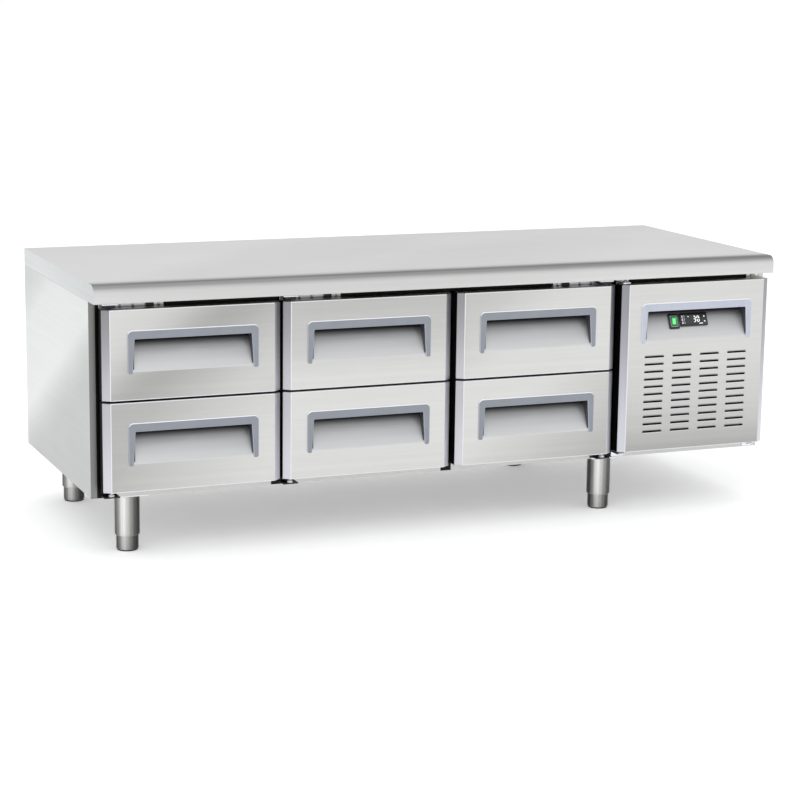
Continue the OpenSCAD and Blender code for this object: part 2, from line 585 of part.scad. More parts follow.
module refrigerant_lines() {
    co = [cfan[0] - 154, y_body + 59];
    z_h = z_b + 240; z_l = z_b + 60;
    ex = lin_x0 + 1330; z_c = lin_z1 - 69.4;      // where the pipes meet the evaporator
    color("#b8703c") {
        // discharge: compressor to the condenser's top
        pipe([cmp + [-40, 0, 184.8], cmp + [-40, 0, 230], [co[0] - 12, cmp[1], cmp[2] + 230], [co[0] - 12, co[1], cmp[2] + 230], [co[0] - 12, co[1], z_h], [co[0] - 0.5, co[1], z_h]], 4);
        // liquid: condenser through the drier and the wall to the evaporator
        union() {
            pipe([[co[0] - 0.5, co[1], z_l], [co[0] - 13, co[1], z_l], [co[0] - 13, co[1] + 60, z_l], [co[0] - 13, port[0] - 6, z_l], [co[0] - 13, port[0] - 6, port[1] - 7], [ex, port[0] - 6, port[1] - 7], [ex, port[0] - 6, z_c]], 3);
            translate([co[0] - 13, co[1] + 90, z_l]) rotate([-90, 0, 0]) cylinder(h = 110, r = 9);
            translate([co[0] - 13, co[1] + 84, z_l]) rotate([-90, 0, 0]) cylinder(h = 122, r = 6);
        }
        // suction: evaporator back to the compressor
        pipe([[ex - 18, port[0] + 4, z_c], [ex - 18, port[0] + 4, port[1] + 5], [cmp[0] - 60, port[0] + 4, port[1] + 5], [cmp[0] - 60, port[0] + 4, cmp[2] + 200], [cmp[0] + 20, cmp[1] + 30, cmp[2] + 200], cmp + [20, 30, 186.6]], 6);
    }
}
module condensate_tray() {
    c = [-x0 - 92, yb - 170];
    color("#6d7074") difference() {
        box(c[0] - 62, c[0] + 62, c[1] - 110, c[1] + 110, z_b + sheet + 0.3, z_b + 40);
        box(c[0] - 60.5, c[0] + 60.5, c[1] - 108.5, c[1] + 108.5, z_b + sheet + 1.8, z_b + 41);
    }
}
module power_cord() {
    c = [-x0 - 96, y0 + 300, z_b + sheet + 4.5];
    color("#222326") union() {
        for (i = [0:3]) translate([c[0], c[1], c[2] + i * 7]) rotate_extrude() translate([60 - i * 0.5, 0]) circle(r = 4, $fn = 24);
        translate([c[0] + 60, c[1] - 30, c[2] + 3.6]) rotate([90, 0, 0]) translate([0, 0, -30]) cylinder(h = 88, r = 3.9, $fn = 24);
        // plug with three pins
        translate([c[0] + 60, c[1] - 84, c[2] + 15.5]) union() {
            box(-16, 16, -42, 4, -17, 13);
            for (p = [[-9, -6], [9, -6], [0, 7]]) translate([p[0], -41, p[1]]) rotate([90, 0, 0]) cylinder(h = 19, r = 2.4, $fn = 24);
        }
    }
}

worktop();
cabinet_casing();
front_frame();
insulation_foam();
inner_liner();
slide_racks();
hinge_brackets();
leg_sleeves();
machine_side_panel();
rear_grille();
foot(0);  // foot_front_left
foot(1);  // foot_front_right
foot(2);  // foot_rear_left
foot(3);  // foot_rear_right
machine_panel();
machine_panel_handle();
controller_body();
control_key(1);  // key_up
control_key(-1);  // key_down
switch_bezel();
switch_rocker();
evaporator_coil();
evaporator_fan_duct();
evaporator_fan_blade();
compressor();
condenser_coil();
condenser_fan_blade();
refrigerant_lines();
condensate_tray();
power_cord();
drawer_front(0, 1);  // drawer_front_upper_left
drawer_handle(0, 1);  // drawer_handle_upper_left
drawer_gasket(0, 1);  // drawer_gasket_upper_left
drawer_frame(0, 1);  // drawer_frame_upper_left
middle_slides(0, 1);  // middle_slides_upper_left
drawer_front(1, 1);  // drawer_front_upper_middle
drawer_handle(1, 1);  // drawer_handle_upper_middle
drawer_gasket(1, 1);  // drawer_gasket_upper_middle
drawer_frame(1, 1);  // drawer_frame_upper_middle
middle_slides(1, 1);  // middle_slides_upper_middle
drawer_front(2, 1);  // drawer_front_upper_right
drawer_handle(2, 1);  // drawer_handle_upper_right
drawer_gasket(2, 1);  // drawer_gasket_upper_right
drawer_frame(2, 1);  // drawer_frame_upper_right
middle_slides(2, 1);  // middle_slides_upper_right
drawer_front(0, 0);  // drawer_front_lower_left
drawer_handle(0, 0);  // drawer_handle_lower_left
drawer_gasket(0, 0);  // drawer_gasket_lower_left
drawer_frame(0, 0);  // drawer_frame_lower_left
middle_slides(0, 0);  // middle_slides_lower_left
drawer_front(1, 0);  // drawer_front_lower_middle
drawer_handle(1, 0);  // drawer_handle_lower_middle
drawer_gasket(1, 0);  // drawer_gasket_lower_middle
drawer_frame(1, 0);  // drawer_frame_lower_middle
middle_slides(1, 0);  // middle_slides_lower_middle
drawer_front(2, 0);  // drawer_front_lower_right
drawer_handle(2, 0);  // drawer_handle_lower_right
drawer_gasket(2, 0);  // drawer_gasket_lower_right
drawer_frame(2, 0);  // drawer_frame_lower_right
middle_slides(2, 0);  // middle_slides_lower_right
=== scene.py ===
import math
import bpy
import bmesh
from mathutils import Vector, Matrix

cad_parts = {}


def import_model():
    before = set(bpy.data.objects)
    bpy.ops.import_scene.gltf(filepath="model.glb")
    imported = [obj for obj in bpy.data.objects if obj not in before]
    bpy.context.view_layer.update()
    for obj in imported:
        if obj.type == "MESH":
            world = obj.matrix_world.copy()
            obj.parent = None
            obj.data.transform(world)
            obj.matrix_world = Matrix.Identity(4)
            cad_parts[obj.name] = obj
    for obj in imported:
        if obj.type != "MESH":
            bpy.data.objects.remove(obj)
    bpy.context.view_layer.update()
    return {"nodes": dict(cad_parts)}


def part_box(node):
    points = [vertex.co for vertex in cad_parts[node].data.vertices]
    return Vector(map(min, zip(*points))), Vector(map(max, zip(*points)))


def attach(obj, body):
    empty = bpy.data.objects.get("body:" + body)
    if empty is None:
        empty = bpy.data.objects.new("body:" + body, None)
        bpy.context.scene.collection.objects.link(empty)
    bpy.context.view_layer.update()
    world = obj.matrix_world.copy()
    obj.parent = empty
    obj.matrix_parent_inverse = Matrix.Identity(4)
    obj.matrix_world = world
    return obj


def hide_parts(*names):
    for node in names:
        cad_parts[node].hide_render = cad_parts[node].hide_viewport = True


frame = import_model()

scene = bpy.context.scene
MM = 0.001
NODES = frame["nodes"]
COLS = ["left", "middle", "right"]
ROWS = ["lower", "upper"]

# ------------------------------------------------------------------ places from the CAD, with the scoop, bevel and bar sizes given as numbers
top_lo, top_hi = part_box("worktop")
fr_lo, fr_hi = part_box("drawer_front_upper_left")
mp_lo, mp_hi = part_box("machine_panel")
hd_lo, hd_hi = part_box("drawer_handle_upper_left")
ls_lo, ls_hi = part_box("leg_sleeves")
X0, X1 = top_lo.x / MM, top_hi.x / MM
Y0, YB = top_lo.y / MM, top_hi.y / MM
ZT, ZTOP = top_lo.z / MM, top_hi.z / MM
YF = fr_lo.y / MM                       # flat face of the fronts
FRONT_T = (fr_hi.y - fr_lo.y) / MM
FRONT_W = (fr_hi.x - fr_lo.x) / MM
FRONT_H = (fr_hi.z - fr_lo.z) / MM
PANEL_W = (mp_hi.x - mp_lo.x) / MM
PANEL_H = (mp_hi.z - mp_lo.z) / MM
HANDLE_W = (hd_hi.x - hd_lo.x) / MM
HANDLE_H = (hd_hi.z - hd_lo.z) / MM
PROUD = (fr_lo.y - hd_lo.y) / MM
DROP = (fr_hi.z - hd_hi.z) / MM
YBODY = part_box("front_frame")[0].y / MM
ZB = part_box("front_frame")[0].z / MM
SCOOP_D, SCOOP_H, SCOOP_HW = 37.7, 89.0, 146.0
BEV_W, BEV_D = 17.0, 12.0
BAR_H = 21.0


# ------------------------------------------------------------------ materials
def lin(c):
    c = c / 255.0
    return c / 12.92 if c <= 0.04045 else ((c + 0.055) / 1.055) ** 2.4


def hexc(h, k=1.0):
    h = h.lstrip("#")
    return tuple(lin(int(h[i:i + 2], 16)) * k for i in (0, 2, 4)) + (1.0,)


class Mat:
    """Small helper that builds a node material on a Principled shader."""

    def __init__(s, name):
        s.m = bpy.data.materials.new(name)
        s.m.use_nodes = True
        s.t = s.m.node_tree
        s.t.nodes.clear()
        s.out = s.add("ShaderNodeOutputMaterial")
        s.b = s.add("ShaderNodeBsdfPrincipled")
        s.link(s.b.outputs[0], s.out.inputs[0])
        s.co = s.add("ShaderNodeTexCoord").outputs["Object"]

    def add(s, kind, **k):
        n = s.t.nodes.new(kind)
        for a, b in k.items():
            setattr(n, a, b)
        return n

    def link(s, a, b):
        s.t.links.new(a, b)

    def put(s, sock, v):
        if isinstance(v, bpy.types.NodeSocket):
            s.link(v, sock)
        else:
            sock.default_value = v

    def math(s, op, a, b=0.0, c=0.0, clamp=False):
        n = s.add("ShaderNodeMath", operation=op, use_clamp=clamp)
        s.put(n.inputs[0], a)
        s.put(n.inputs[1], b)
        s.put(n.inputs[2], c)
        return n.outputs[0]

    def noise(s, scale, detail=3.0, rough=0.55, shift=(0, 0, 0), size=1.0, dist=0.0):
        mp = s.add("ShaderNodeMapping")
        s.link(s.co, mp.inputs["Vector"])
        mp.inputs["Scale"].default_value = scale
        mp.inputs["Location"].default_value = shift
        n = s.add("ShaderNodeTexNoise")
        s.link(mp.outputs[0], n.inputs["Vector"])
        n.inputs["Scale"].default_value = size
        n.inputs["Detail"].default_value = detail
        n.inputs["Roughness"].default_value = rough
        n.inputs["Distortion"].default_value = dist
        return n.outputs["Fac"]

    def spread(s, fac, lo, hi, a=0.3, b=0.7):
        n = s.add("ShaderNodeMapRange")
        s.put(n.inputs["Value"], fac)
        n.inputs["From Min"].default_value = a
        n.inputs["From Max"].default_value = b
        n.inputs["To Min"].default_value = lo
        n.inputs["To Max"].default_value = hi
        return n.outputs[0]

    def ramp(s, fac, stops, mode="EASE"):
        n = s.add("ShaderNodeValToRGB")
        n.color_ramp.interpolation = mode
        e = n.color_ramp.elements
        while len(e) < len(stops):
            e.new(0.5)
        for i, (p, c) in enumerate(stops):
            e[i].position = p
            e[i].color = c if isinstance(c, tuple) else (c, c, c, 1)
        s.put(n.inputs[0], fac)
        return n.outputs[0]

    def mix(s, mode, fac, a, b):
        n = s.add("ShaderNodeMix", data_type="RGBA", blend_type=mode)
        s.put(n.inputs[0], fac)
        s.put(n.inputs[6], a)
        s.put(n.inputs[7], b)
        return n.outputs[2]

    def bump(s, h, strength, dist, normal=None):
        n = s.add("ShaderNodeBump")
        n.inputs["Strength"].default_value = strength
        n.inputs["Distance"].default_value = dist
        s.put(n.inputs["Height"], h)
        if normal is not None:
            s.link(normal, n.inputs["Normal"])
        return n.outputs[0]

    def set(s, **k):
        names = {"color": "Base Color", "metal": "Metallic", "rough": "Roughness", "normal": "Normal",
                 "aniso": "Anisotropic", "coat": "Coat Weight", "coat_rough": "Coat Roughness",
                 "spec": "Specular IOR Level", "emit": "Emission Color", "emit_k": "Emission Strength",
                 "sheen": "Sheen Weight", "aniso_rot": "Anisotropic Rotation"}
        for a, v in k.items():
            s.put(s.b.inputs[names[a]], v)
        return s.m


def painted_light_ramp(m, axis, stops, base=220.0):
    """Painted reflection and shade over the piece: a brightness ramp on a slanting coordinate, given in millimetres and
    grey levels.
    """
    sep = m.add("ShaderNodeSeparateXYZ")
    m.link(m.co, sep.inputs[0])
    t = None
    for i in range(3):
        if axis[i]:
            v = m.math("MULTIPLY", sep.outputs[i], axis[i])
            t = v if t is None else m.math("ADD", t, v)
    a, b = stops[0][0] * MM, stops[-1][0] * MM
    f = m.math("DIVIDE", m.math("SUBTRACT", t, a), b - a, clamp=True)
    top = lin(base)
    return m.ramp(f, [((p * MM - a) / (b - a), lin(g) / top) for p, g in stops], "B_SPLINE" if len(stops) > 3 else "EASE")


def facing(m, axis):
    """How far the surface faces a direction, from -1 to 1."""
    g = m.add("ShaderNodeNewGeometry")
    d = m.add("ShaderNodeVectorMath", operation="DOT_PRODUCT")
    m.link(g.outputs["Normal"], d.inputs[0])
    d.inputs[1].default_value = Vector(axis).normalized()
    return d.outputs["Value"]


def coord(m, i):
    """One coordinate of the piece, in millimetres."""
    sep = m.add("ShaderNodeSeparateXYZ")
    m.link(m.co, sep.inputs[0])
    return m.math("MULTIPLY", sep.outputs[i], 1000.0)


def steel(name, color="#d9d9d7", rough=0.34, grain=0, painted_light_ramps=(), streak=0.035, metal=1.0, gain=1.0, coarse=1.0, painted_light_fn=None):
    """Brushed stainless steel; grain is the axis the brushing runs along (0 X, 1 Y, 2 Z)."""
    m = Mat(name)
    sc = [900.0 * coarse] * 3
    sc[grain] = 9.0
    fine = m.noise(tuple(sc), 4.0, 0.6)
    sc2 = [110.0 * coarse] * 3
    sc2[grain] = 1.6
    wide = m.noise(tuple(sc2), 3.0, 0.6, shift=(3.1, 7.7, 1.3))
    cloud = m.noise((5.0, 5.0, 5.0), 2.0, 0.5, shift=(11, 2, 5))
    col = m.mix("MULTIPLY", 1.0, hexc(color, gain), m.ramp(fine, [(0.30, 1 - streak), (0.70, 1 + streak * 0.2)]))
    col = m.mix("MULTIPLY", 1.0, col, m.ramp(wide, [(0.30, 1 - streak * 1.1), (0.72, 1.0)]))
    # Painted reflection and shade: brightness ramps and shade masks multiplied into the colour.
    for axis, stops in painted_light_ramps:
        col = m.mix("MULTIPLY", 1.0, col, painted_light_ramp(m, axis, stops))
    if painted_light_fn:
        col = m.mix("MULTIPLY", 1.0, col, painted_light_fn(m))
    r = m.math("ADD", m.spread(fine, -0.05, 0.06), m.spread(cloud, rough - 0.02, rough + 0.03))
    nrm = m.bump(m.math("ADD", m.math("MULTIPLY", fine, 0.7), m.math("MULTIPLY", wide, 0.5)), 0.10, 0.00012)
    return m.set(color=col, metal=metal, rough=r, normal=nrm, aniso=0.45, aniso_rot=0.25 if grain == 2 else 0.0)


def plastic(name, color, rough=0.45, spec=0.5, grain=2600.0, depth=0.00006, vary=0.06, coat=0.0, painted_light_ramps=()):
    """Moulded plastic with a fine spark-eroded texture and slight colour variation."""
    m = Mat(name)
    fine = m.noise((grain, grain, grain), 2.0, 0.6)
    soft = m.noise((28.0, 28.0, 28.0), 3.0, 0.5, shift=(4, 9, 2))
    col = m.mix("MULTIPLY", 1.0, hexc(color), m.ramp(soft, [(0.3, 1 - vary), (0.7, 1 + vary * 0.4)]))
    col = m.mix("MULTIPLY", 1.0, col, m.ramp(fine, [(0.3, 1 - vary * 0.6), (0.7, 1.0)]))
    for axis, stops in painted_light_ramps:
        col = m.mix("MULTIPLY", 1.0, col, painted_light_ramp(m, axis, stops))
    return m.set(color=col, rough=m.math("ADD", m.spread(fine, -0.05, 0.05), m.spread(soft, rough - 0.04, rough + 0.04)),
                 spec=spec, normal=m.bump(fine, 0.35, depth), coat=coat, coat_rough=0.12)


def rubber(name, color="#141416", rough=0.75):
    m = Mat(name)
    fine = m.noise((3200.0, 3200.0, 3200.0), 3.0, 0.7)
    dust = m.noise((60.0, 60.0, 60.0), 4.0, 0.6, shift=(1, 5, 3))
    col = m.mix("MIX", m.ramp(dust, [(0.45, 0.0), (0.85, 0.25)]), hexc(color), hexc("#3a3a3c"))
    return m.set(color=col, rough=m.spread(fine, rough - 0.06, rough + 0.08), spec=0.35, normal=m.bump(fine, 0.4, 0.00008))


M = {}
# Painted reflection: the top darker across its middle and lighter towards the back-left and the right, with a painted
# dark band along the rounded front edge.
M["worktop"] = steel("worktop_brushed_steel", "#d6d6d5", 0.42, 0, [
    ((1, -1.0, 0), [(-900, 232), (-640, 222), (-380, 211), (300, 211), (620, 216), (900, 226), (1250, 244)]),
    ((0, 1, 1), [(250, 218), (280, 217), (287, 206), (293, 178), (300, 148), (307, 126), (313, 116), (319, 122), (328, 148), (335, 170), (345, 200), (360, 210), (380, 213)])],
    metal=0.62, gain=0.94)
# Painted reflection: the worktop's ends lighter towards the back.
M["worktop_end"] = steel("worktop_end_steel", "#dadddd", 0.34, 1, [((0, 1, 0), [(-350, 208), (-200, 212), (150, 222), (350, 244)])], gain=0.90)
def away_shade(m):
    """The back and the right side face away from the key light."""
    a = m.ramp(facing(m, (0, 1, 0)), [(0.2, 1.0), (0.9, 0.74)], "LINEAR")
    b = m.ramp(facing(m, (1, 0, 0)), [(0.2, 1.0), (0.9, 0.80)], "LINEAR")
    return m.mix("MULTIPLY", 1.0, a, b)


# Painted reflection: a light diagonal band across the side panels, darker towards the lower front; away_shade adds
# painted shade on the back and the right side.
M["side"] = steel("side_panel_steel", "#e4e5e5", 0.34, 1, [
    ((0, 0.51, 1), [(270, 181), (325, 190), (376, 206), (426, 224), (470, 232), (506, 235), (576, 229), (626, 221), (678, 209), (730, 200)])], gain=0.90, painted_light_fn=away_shade)
GAPS = [X0 + 458.2, X0 + 903.2, X0 + 1354.5]


def shade_gaps(m):
    """Painted shade: darkens the frame behind the gaps between the fronts, under the worktop and along the left stile.
    """
    x, z = coord(m, 0), coord(m, 2)
    f = m.math("GREATER_THAN", z, ZT - 23.0)
    f = m.math("MULTIPLY", f, m.math("COMPARE", x, 0.0, 862.0))
    for g in GAPS:
        f = m.math("MAXIMUM", f, m.math("COMPARE", x, g, 14.0))
    row = m.math("MULTIPLY", m.math("COMPARE", z, 375.5, 7.0), m.math("COMPARE", x, 0.0, 872.0))
    f = m.math("MAXIMUM", f, row)
    f = m.math("MAXIMUM", f, m.math("COMPARE", x, X0 + 28.0, 13.0))
    edge = m.math("MULTIPLY", m.math("LESS_THAN", x, X0 + 15.0), 0.5)
    f = m.math("MAXIMUM", f, edge)
    return m.ramp(f, [(0.0, 1.0), (0.5, 0.42), (1.0, 0.03)], "LINEAR")


M["frame"] = steel("frame_steel", "#c4c4c2", 0.36, 2, painted_light_fn=shade_gaps)
# Painted reflection and shade on each front: its own brightness ramp along a slanting line, in millimetres and grey
# levels.
painted_light_ramps = {
    ("upper", "left"): [((1, 0, -1.23), [(-445, 220), (-338, 213), (-278, 203), (-228, 188), (-170, 174), (-110, 178), (-38, 190), (42, 201), (130, 211)])],
    ("lower", "left"): [((1, 0, -0.61), [(-318, 183), (-218, 185), (-190, 189), (-123, 197), (-43, 204), (37, 211), (117, 216), (200, 220)])],
    ("upper", "middle"): [((0, 0, 1), [(20, 220), (45, 218), (75, 209), (120, 200), (165, 199), (205, 193)])],
    ("lower", "middle"): [((0, 0, 1), [(0, 219), (213, 220)])],
    ("upper", "right"): [((1, 0, -1.2), [(-440, 197), (-320, 206), (-260, 212), (-180, 219), (-60, 221)])],
    ("lower", "right"): [((1, 0, -1.3), [(-268, 221), (-203, 217), (-158, 212), (-98, 208), (-18, 201), (82, 192), (182, 182)])],
}
for (r, c), t in painted_light_ramps.items():
    M["front_%s_%s" % (r, c)] = steel("front_steel_%s_%s" % (r, c), "#d4d4d2", 0.36, 0, t, gain=0.945)
# Painted reflection on the fronts' bevels: violet-grey, darker towards the top.
M["bevel"] = steel("front_bevel_steel", "#cfced4", 0.30, 2, [((0, 0, 1), [(0, 200), (60, 188), (110, 172), (160, 158), (213, 148)])])
M["bevel_low"] = steel("front_lower_bevel_steel", "#cfced4", 0.30, 2, [((0, 0, 1), [(0, 214), (213, 190)])])
# Painted highlight: a near-white strip for the rounded bends, the top and bottom edges and the louvre lips.
M["bend"] = steel("front_bend_steel", "#e2e3e7", 0.32, 2, metal=0.4)
# Painted shade: the dark sides of the fronts.
M["return"] = steel("front_return_steel", "#474745", 0.42, 2)
# Painted shade: the machine panel darker towards the bottom.
M["panel"] = steel("machine_panel_steel", "#d4d4d2", 0.36, 0, [((0, 0, 1), [(0, 174), (12, 178), (30, 184), (56, 193), (138, 207), (255, 217), (430, 219)])], gain=0.945)
# Painted reflection on the machine panel's bevels, darker towards the top.
M["panel_bevel"] = steel("machine_panel_bevel_steel", "#d2d2da", 0.30, 2, [((0, 0, 1), [(0, 214), (150, 194), (300, 162), (430, 146)])])
# Painted shadow in the finger scoop: darker upwards, nearly black right under the bar.
SCOOP_PAINTED_SHADOW = [(66, 214), (90, 203), (108, 187), (120, 168), (129, 128), (134, 62), (138, 24), (144, 14), (160, 12)]
M["scoop"] = steel("scoop_steel", "#d2d2d3", 0.42, 0, [((0, 0, 1), SCOOP_PAINTED_SHADOW)], metal=0.7)
M["scoop_panel"] = steel("machine_scoop_steel", "#d2d2d3", 0.42, 0, [((0, 0, 1), [(a_ + 218, b_) for a_, b_ in SCOOP_PAINTED_SHADOW])], metal=0.7)
M["liner"] = steel("liner_steel", "#bfc1c2", 0.42, 0)
M["drawer"] = steel("drawer_frame_steel", "#bcbec0", 0.36, 1)
M["slide"] = steel("slide_zinc_steel", "#aeb1b3", 0.40, 1, coarse=0.7)
M["zinc"] = steel("hinge_zinc_steel", "#dfe2e6", 0.30, 0)
def round_shade(lo):
    # Painted highlight and shade round the legs and feet: a bright stripe and dark sides, set by which way the surface
    # faces.
    def go(m):
        u = m.math("MULTIPLY_ADD", facing(m, (0.925, -0.381, 0)), 0.5, 0.5)
        t = lin(235.0)
        return m.ramp(u, [(p_, lin(v_ * lo) / t) for p_, v_ in ((0.0, 40), (0.07, 78), (0.2, 150), (0.34, 228), (0.44, 240), (0.56, 205), (0.72, 150), (0.86, 96), (1.0, 52))])
    return go


M["leg"] = steel("leg_brushed_steel", "#dededc", 0.26, 2, painted_light_fn=round_shade(1.0))
M["foot"] = steel("foot_brushed_steel", "#d4d4d2", 0.28, 2, painted_light_fn=round_shade(0.9))
M["screw"] = steel("screw_steel", "#b9bcc0", 0.25, 0)
def handle_plastic(name, color, edge):
    """Grey moulded grip with painted highlights: its edges turn lighter on the sides and near white where they face up.
    """
    m = Mat(name)
    fine = m.noise((2600.0, 2600.0, 2600.0), 2.0, 0.6)
    soft = m.noise((28.0, 28.0, 28.0), 3.0, 0.5, shift=(4, 9, 2))
    col = m.mix("MULTIPLY", 1.0, hexc(color), m.ramp(soft, [(0.3, 0.95), (0.7, 1.02)]))
    top_highlight = m.spread(facing(m, (0, 0, 1)), 0.0, 1.0, 0.12, 0.6)
    side_highlight = m.spread(m.math("ABSOLUTE", facing(m, (1, 0, 0))), 0.0, 0.75, 0.25, 0.8)
    # Painted highlight: the lighter edge colour on the sides.
    col = m.mix("MIX", side_highlight, col, hexc(edge))
    # Painted highlight: near white where the surface faces up.
    col = m.mix("MIX", top_highlight, col, hexc("#fbfcff"))
    return m.set(color=col, rough=m.math("ADD", m.spread(fine, -0.05, 0.05), m.spread(soft, 0.38, 0.46)), spec=0.5, normal=m.bump(fine, 0.35, 0.00006), coat=0.1)


M["handle"] = handle_plastic("handle_grey_plastic", "#82868f", "#b8bcc8")
M["handle_light"] = handle_plastic("machine_handle_plastic", "#b2b6c4", "#d4d7e0")
M["handle_dark"] = plastic("handle_cheek_plastic", "#3a3c44", 0.55)
M["black"] = plastic("black_block_plastic", "#17181a", 0.45)
M["bush"] = plastic("white_bush_plastic", "#d9dade", 0.40)
M["gasket"] = rubber("gasket_rubber")
M["pad"] = rubber("foot_pad_rubber", "#101012")
M["cord"] = rubber("power_cord_rubber", "#121214", 0.6)
M["bezel"] = plastic("controller_black_plastic", "#0c0d0f", 0.28, 0.5, 1800.0, 0.00003, 0.1, 0.2)
M["key"] = plastic("key_plastic", "#1c1d20", 0.35)
M["rocker_body"] = plastic("rocker_black_plastic", "#0d0e10", 0.30, coat=0.3)


def lit(name, color, k, edge=None):
    """A lamp or digit that shines; printed marks made with it glow as painted light."""
    m = Mat(name)
    n = m.noise((900.0, 900.0, 900.0), 2.0, 0.5)
    col = m.mix("MULTIPLY", 1.0, hexc(color), m.ramp(n, [(0.3, 0.86), (0.7, 1.0)]))
    return m.set(color=col, rough=0.3, emit=col, emit_k=k)


M["digit"] = lit("display_digit_white", "#f2f5f5", 1.0)
# Painted glow: the printed marks and key arrows shine with no lamp behind them.
M["icon"] = lit("printed_icon_painted_glow", "#e2e6e6", 0.55)
M["green"] = lit("rocker_green_lens", "#17894a", 0.35)
M["green_hot"] = lit("rocker_yellow_green_lens", "#6fe07c", 0.55)
M["rim"] = plastic("switch_rim_plastic", "#b9bcc2", 0.35)


def window_material():
    m = Mat("display_window_acrylic")
    n = m.noise((1200.0, 1200.0, 1200.0), 2.0, 0.5)
    return m.set(color=m.mix("MULTIPLY", 1.0, hexc("#08090b"), m.ramp(n, [(0.3, 0.8), (0.7, 1.0)])), rough=m.spread(n, 0.10, 0.16), spec=0.6, coat=0.5, coat_rough=0.05)


M["window"] = window_material()


def foam_material():
    m = Mat("insulation_foam")
    cells = m.noise((420.0, 420.0, 420.0), 5.0, 0.7)
    big = m.noise((20.0, 20.0, 20.0), 3.0, 0.5)
    col = m.mix("MULTIPLY", 1.0, hexc("#d9c58f"), m.ramp(cells, [(0.3, 0.75), (0.7, 1.05)]))
    col = m.mix("MULTIPLY", 1.0, col, m.ramp(big, [(0.3, 0.88), (0.7, 1.0)]))
    return m.set(color=col, rough=0.9, spec=0.2, normal=m.bump(cells, 0.6, 0.0006))


M["foam"] = foam_material()


def fins_material(name, color, pitch):
    """Aluminium fin pack: fine vertical lines with dusty spots."""
    m = Mat(name)
    dust = m.noise((40.0, 40.0, 40.0), 4.0, 0.6)
    fine = m.noise((1500.0, 1500.0, 30.0), 3.0, 0.6)
    col = m.mix("MULTIPLY", 1.0, hexc(color), m.ramp(fine, [(0.3, 0.8), (0.7, 1.0)]))
    col = m.mix("MIX", m.ramp(dust, [(0.5, 0.0), (0.9, 0.3)]), col, hexc("#77746e"))
    return m.set(color=col, metal=0.9, rough=m.spread(fine, 0.34, 0.5), normal=m.bump(fine, 0.2, 0.0002))


M["fins"] = fins_material("coil_aluminium", "#b3b7ba", 0.01)
M["fan_alu"] = steel("fan_aluminium", "#b6babd", 0.42, 0, metal=0.95)
M["fan_black"] = plastic("fan_black_plastic", "#16171a", 0.5)


def painted(name, color, rough=0.4):
    m = Mat(name)
    peel = m.noise((700.0, 700.0, 700.0), 2.0, 0.5)
    wear = m.noise((35.0, 35.0, 35.0), 5.0, 0.65, shift=(2, 2, 9))
    col = m.mix("MULTIPLY", 1.0, hexc(color), m.ramp(wear, [(0.3, 0.82), (0.7, 1.08)]))
    return m.set(color=col, rough=m.spread(wear, rough - 0.06, rough + 0.08), spec=0.5, normal=m.bump(peel, 0.25, 0.0001), coat=0.25, coat_rough=0.2)


M["compressor"] = painted("compressor_black_paint", "#151619")


def copper_material():
    m = Mat("copper_pipe")
    tar = m.noise((45.0, 45.0, 45.0), 5.0, 0.65)
    fine = m.noise((1200.0, 1200.0, 1200.0), 2.0, 0.5)
    col = m.mix("MIX", m.ramp(tar, [(0.42, 0.0), (0.8, 0.75)]), hexc("#c98058"), hexc("#7c4a33"))
    return m.set(color=col, metal=1.0, rough=m.spread(tar, 0.26, 0.44), normal=m.bump(fine, 0.15, 0.0001))


M["copper"] = copper_material()
M["tray"] = plastic("tray_grey_plastic", "#3c3e41", 0.5)


# ------------------------------------------------------------------ mesh helpers
def obj(name, bm, mats, body, replaces=(), loc=(0, 0, 0), smooth=35.0, bevel=0.0, seg=2, solid=0.0, weighted=False, parent=None):
    me = bpy.data.meshes.new(name)
    bm.to_mesh(me)
    bm.free()
    for m in mats:
        me.materials.append(m)
    for p in me.polygons:
        p.use_smooth = True
    me.set_sharp_from_angle(angle=math.radians(smooth))
    ob = bpy.data.objects.new(name, me)
    scene.collection.objects.link(ob)
    ob.location = Vector(loc) * MM
    if solid:
        md = ob.modifiers.new("sheet", "SOLIDIFY")
        md.thickness = solid * MM
        md.offset = -1.0
        md.use_even_offset = True
        md.thickness_clamp = 0.8
    if bevel:
        md = ob.modifiers.new("edge", "BEVEL")
        md.width = bevel * MM
        md.segments = seg
        md.limit_method = "ANGLE"
        md.angle_limit = math.radians(40)
        md.harden_normals = True
        md.use_clamp_overlap = True
    if weighted:
        md = ob.modifiers.new("shade", "WEIGHTED_NORMAL")
        md.keep_sharp = True
        md.weight = 80
    if parent is not None:
        pass
    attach(ob, body)
    if replaces:
        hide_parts(*replaces)
    return ob


def V(bm, x, y, z):
    return bm.verts.new((x * MM, y * MM, z * MM))


def face(bm, vs, mi=0):
    out = []
    for v in vs:
        if not out or (v is not out[-1] and (v.co - out[-1].co).length > 1e-7):
            out.append(v)
    if len(out) > 1 and (out[0] is out[-1] or (out[0].co - out[-1].co).length < 1e-7):
        out.pop()
    if len(out) < 3 or len(set(out)) < 3:
        return None
    try:
        f = bm.faces.new(out)
    except ValueError:
        return None
    f.material_index = mi
    return f


def box_into(bm, x1, x2, y1, y2, z1, z2, mi=0):
    v = [V(bm, x, y, z) for z in (z1, z2) for y in (y1, y2) for x in (x1, x2)]
    for q in ((0, 2, 3, 1), (4, 5, 7, 6), (0, 1, 5, 4), (2, 6, 7, 3), (0, 4, 6, 2), (1, 3, 7, 5)):
        face(bm, [v[i] for i in q], mi)


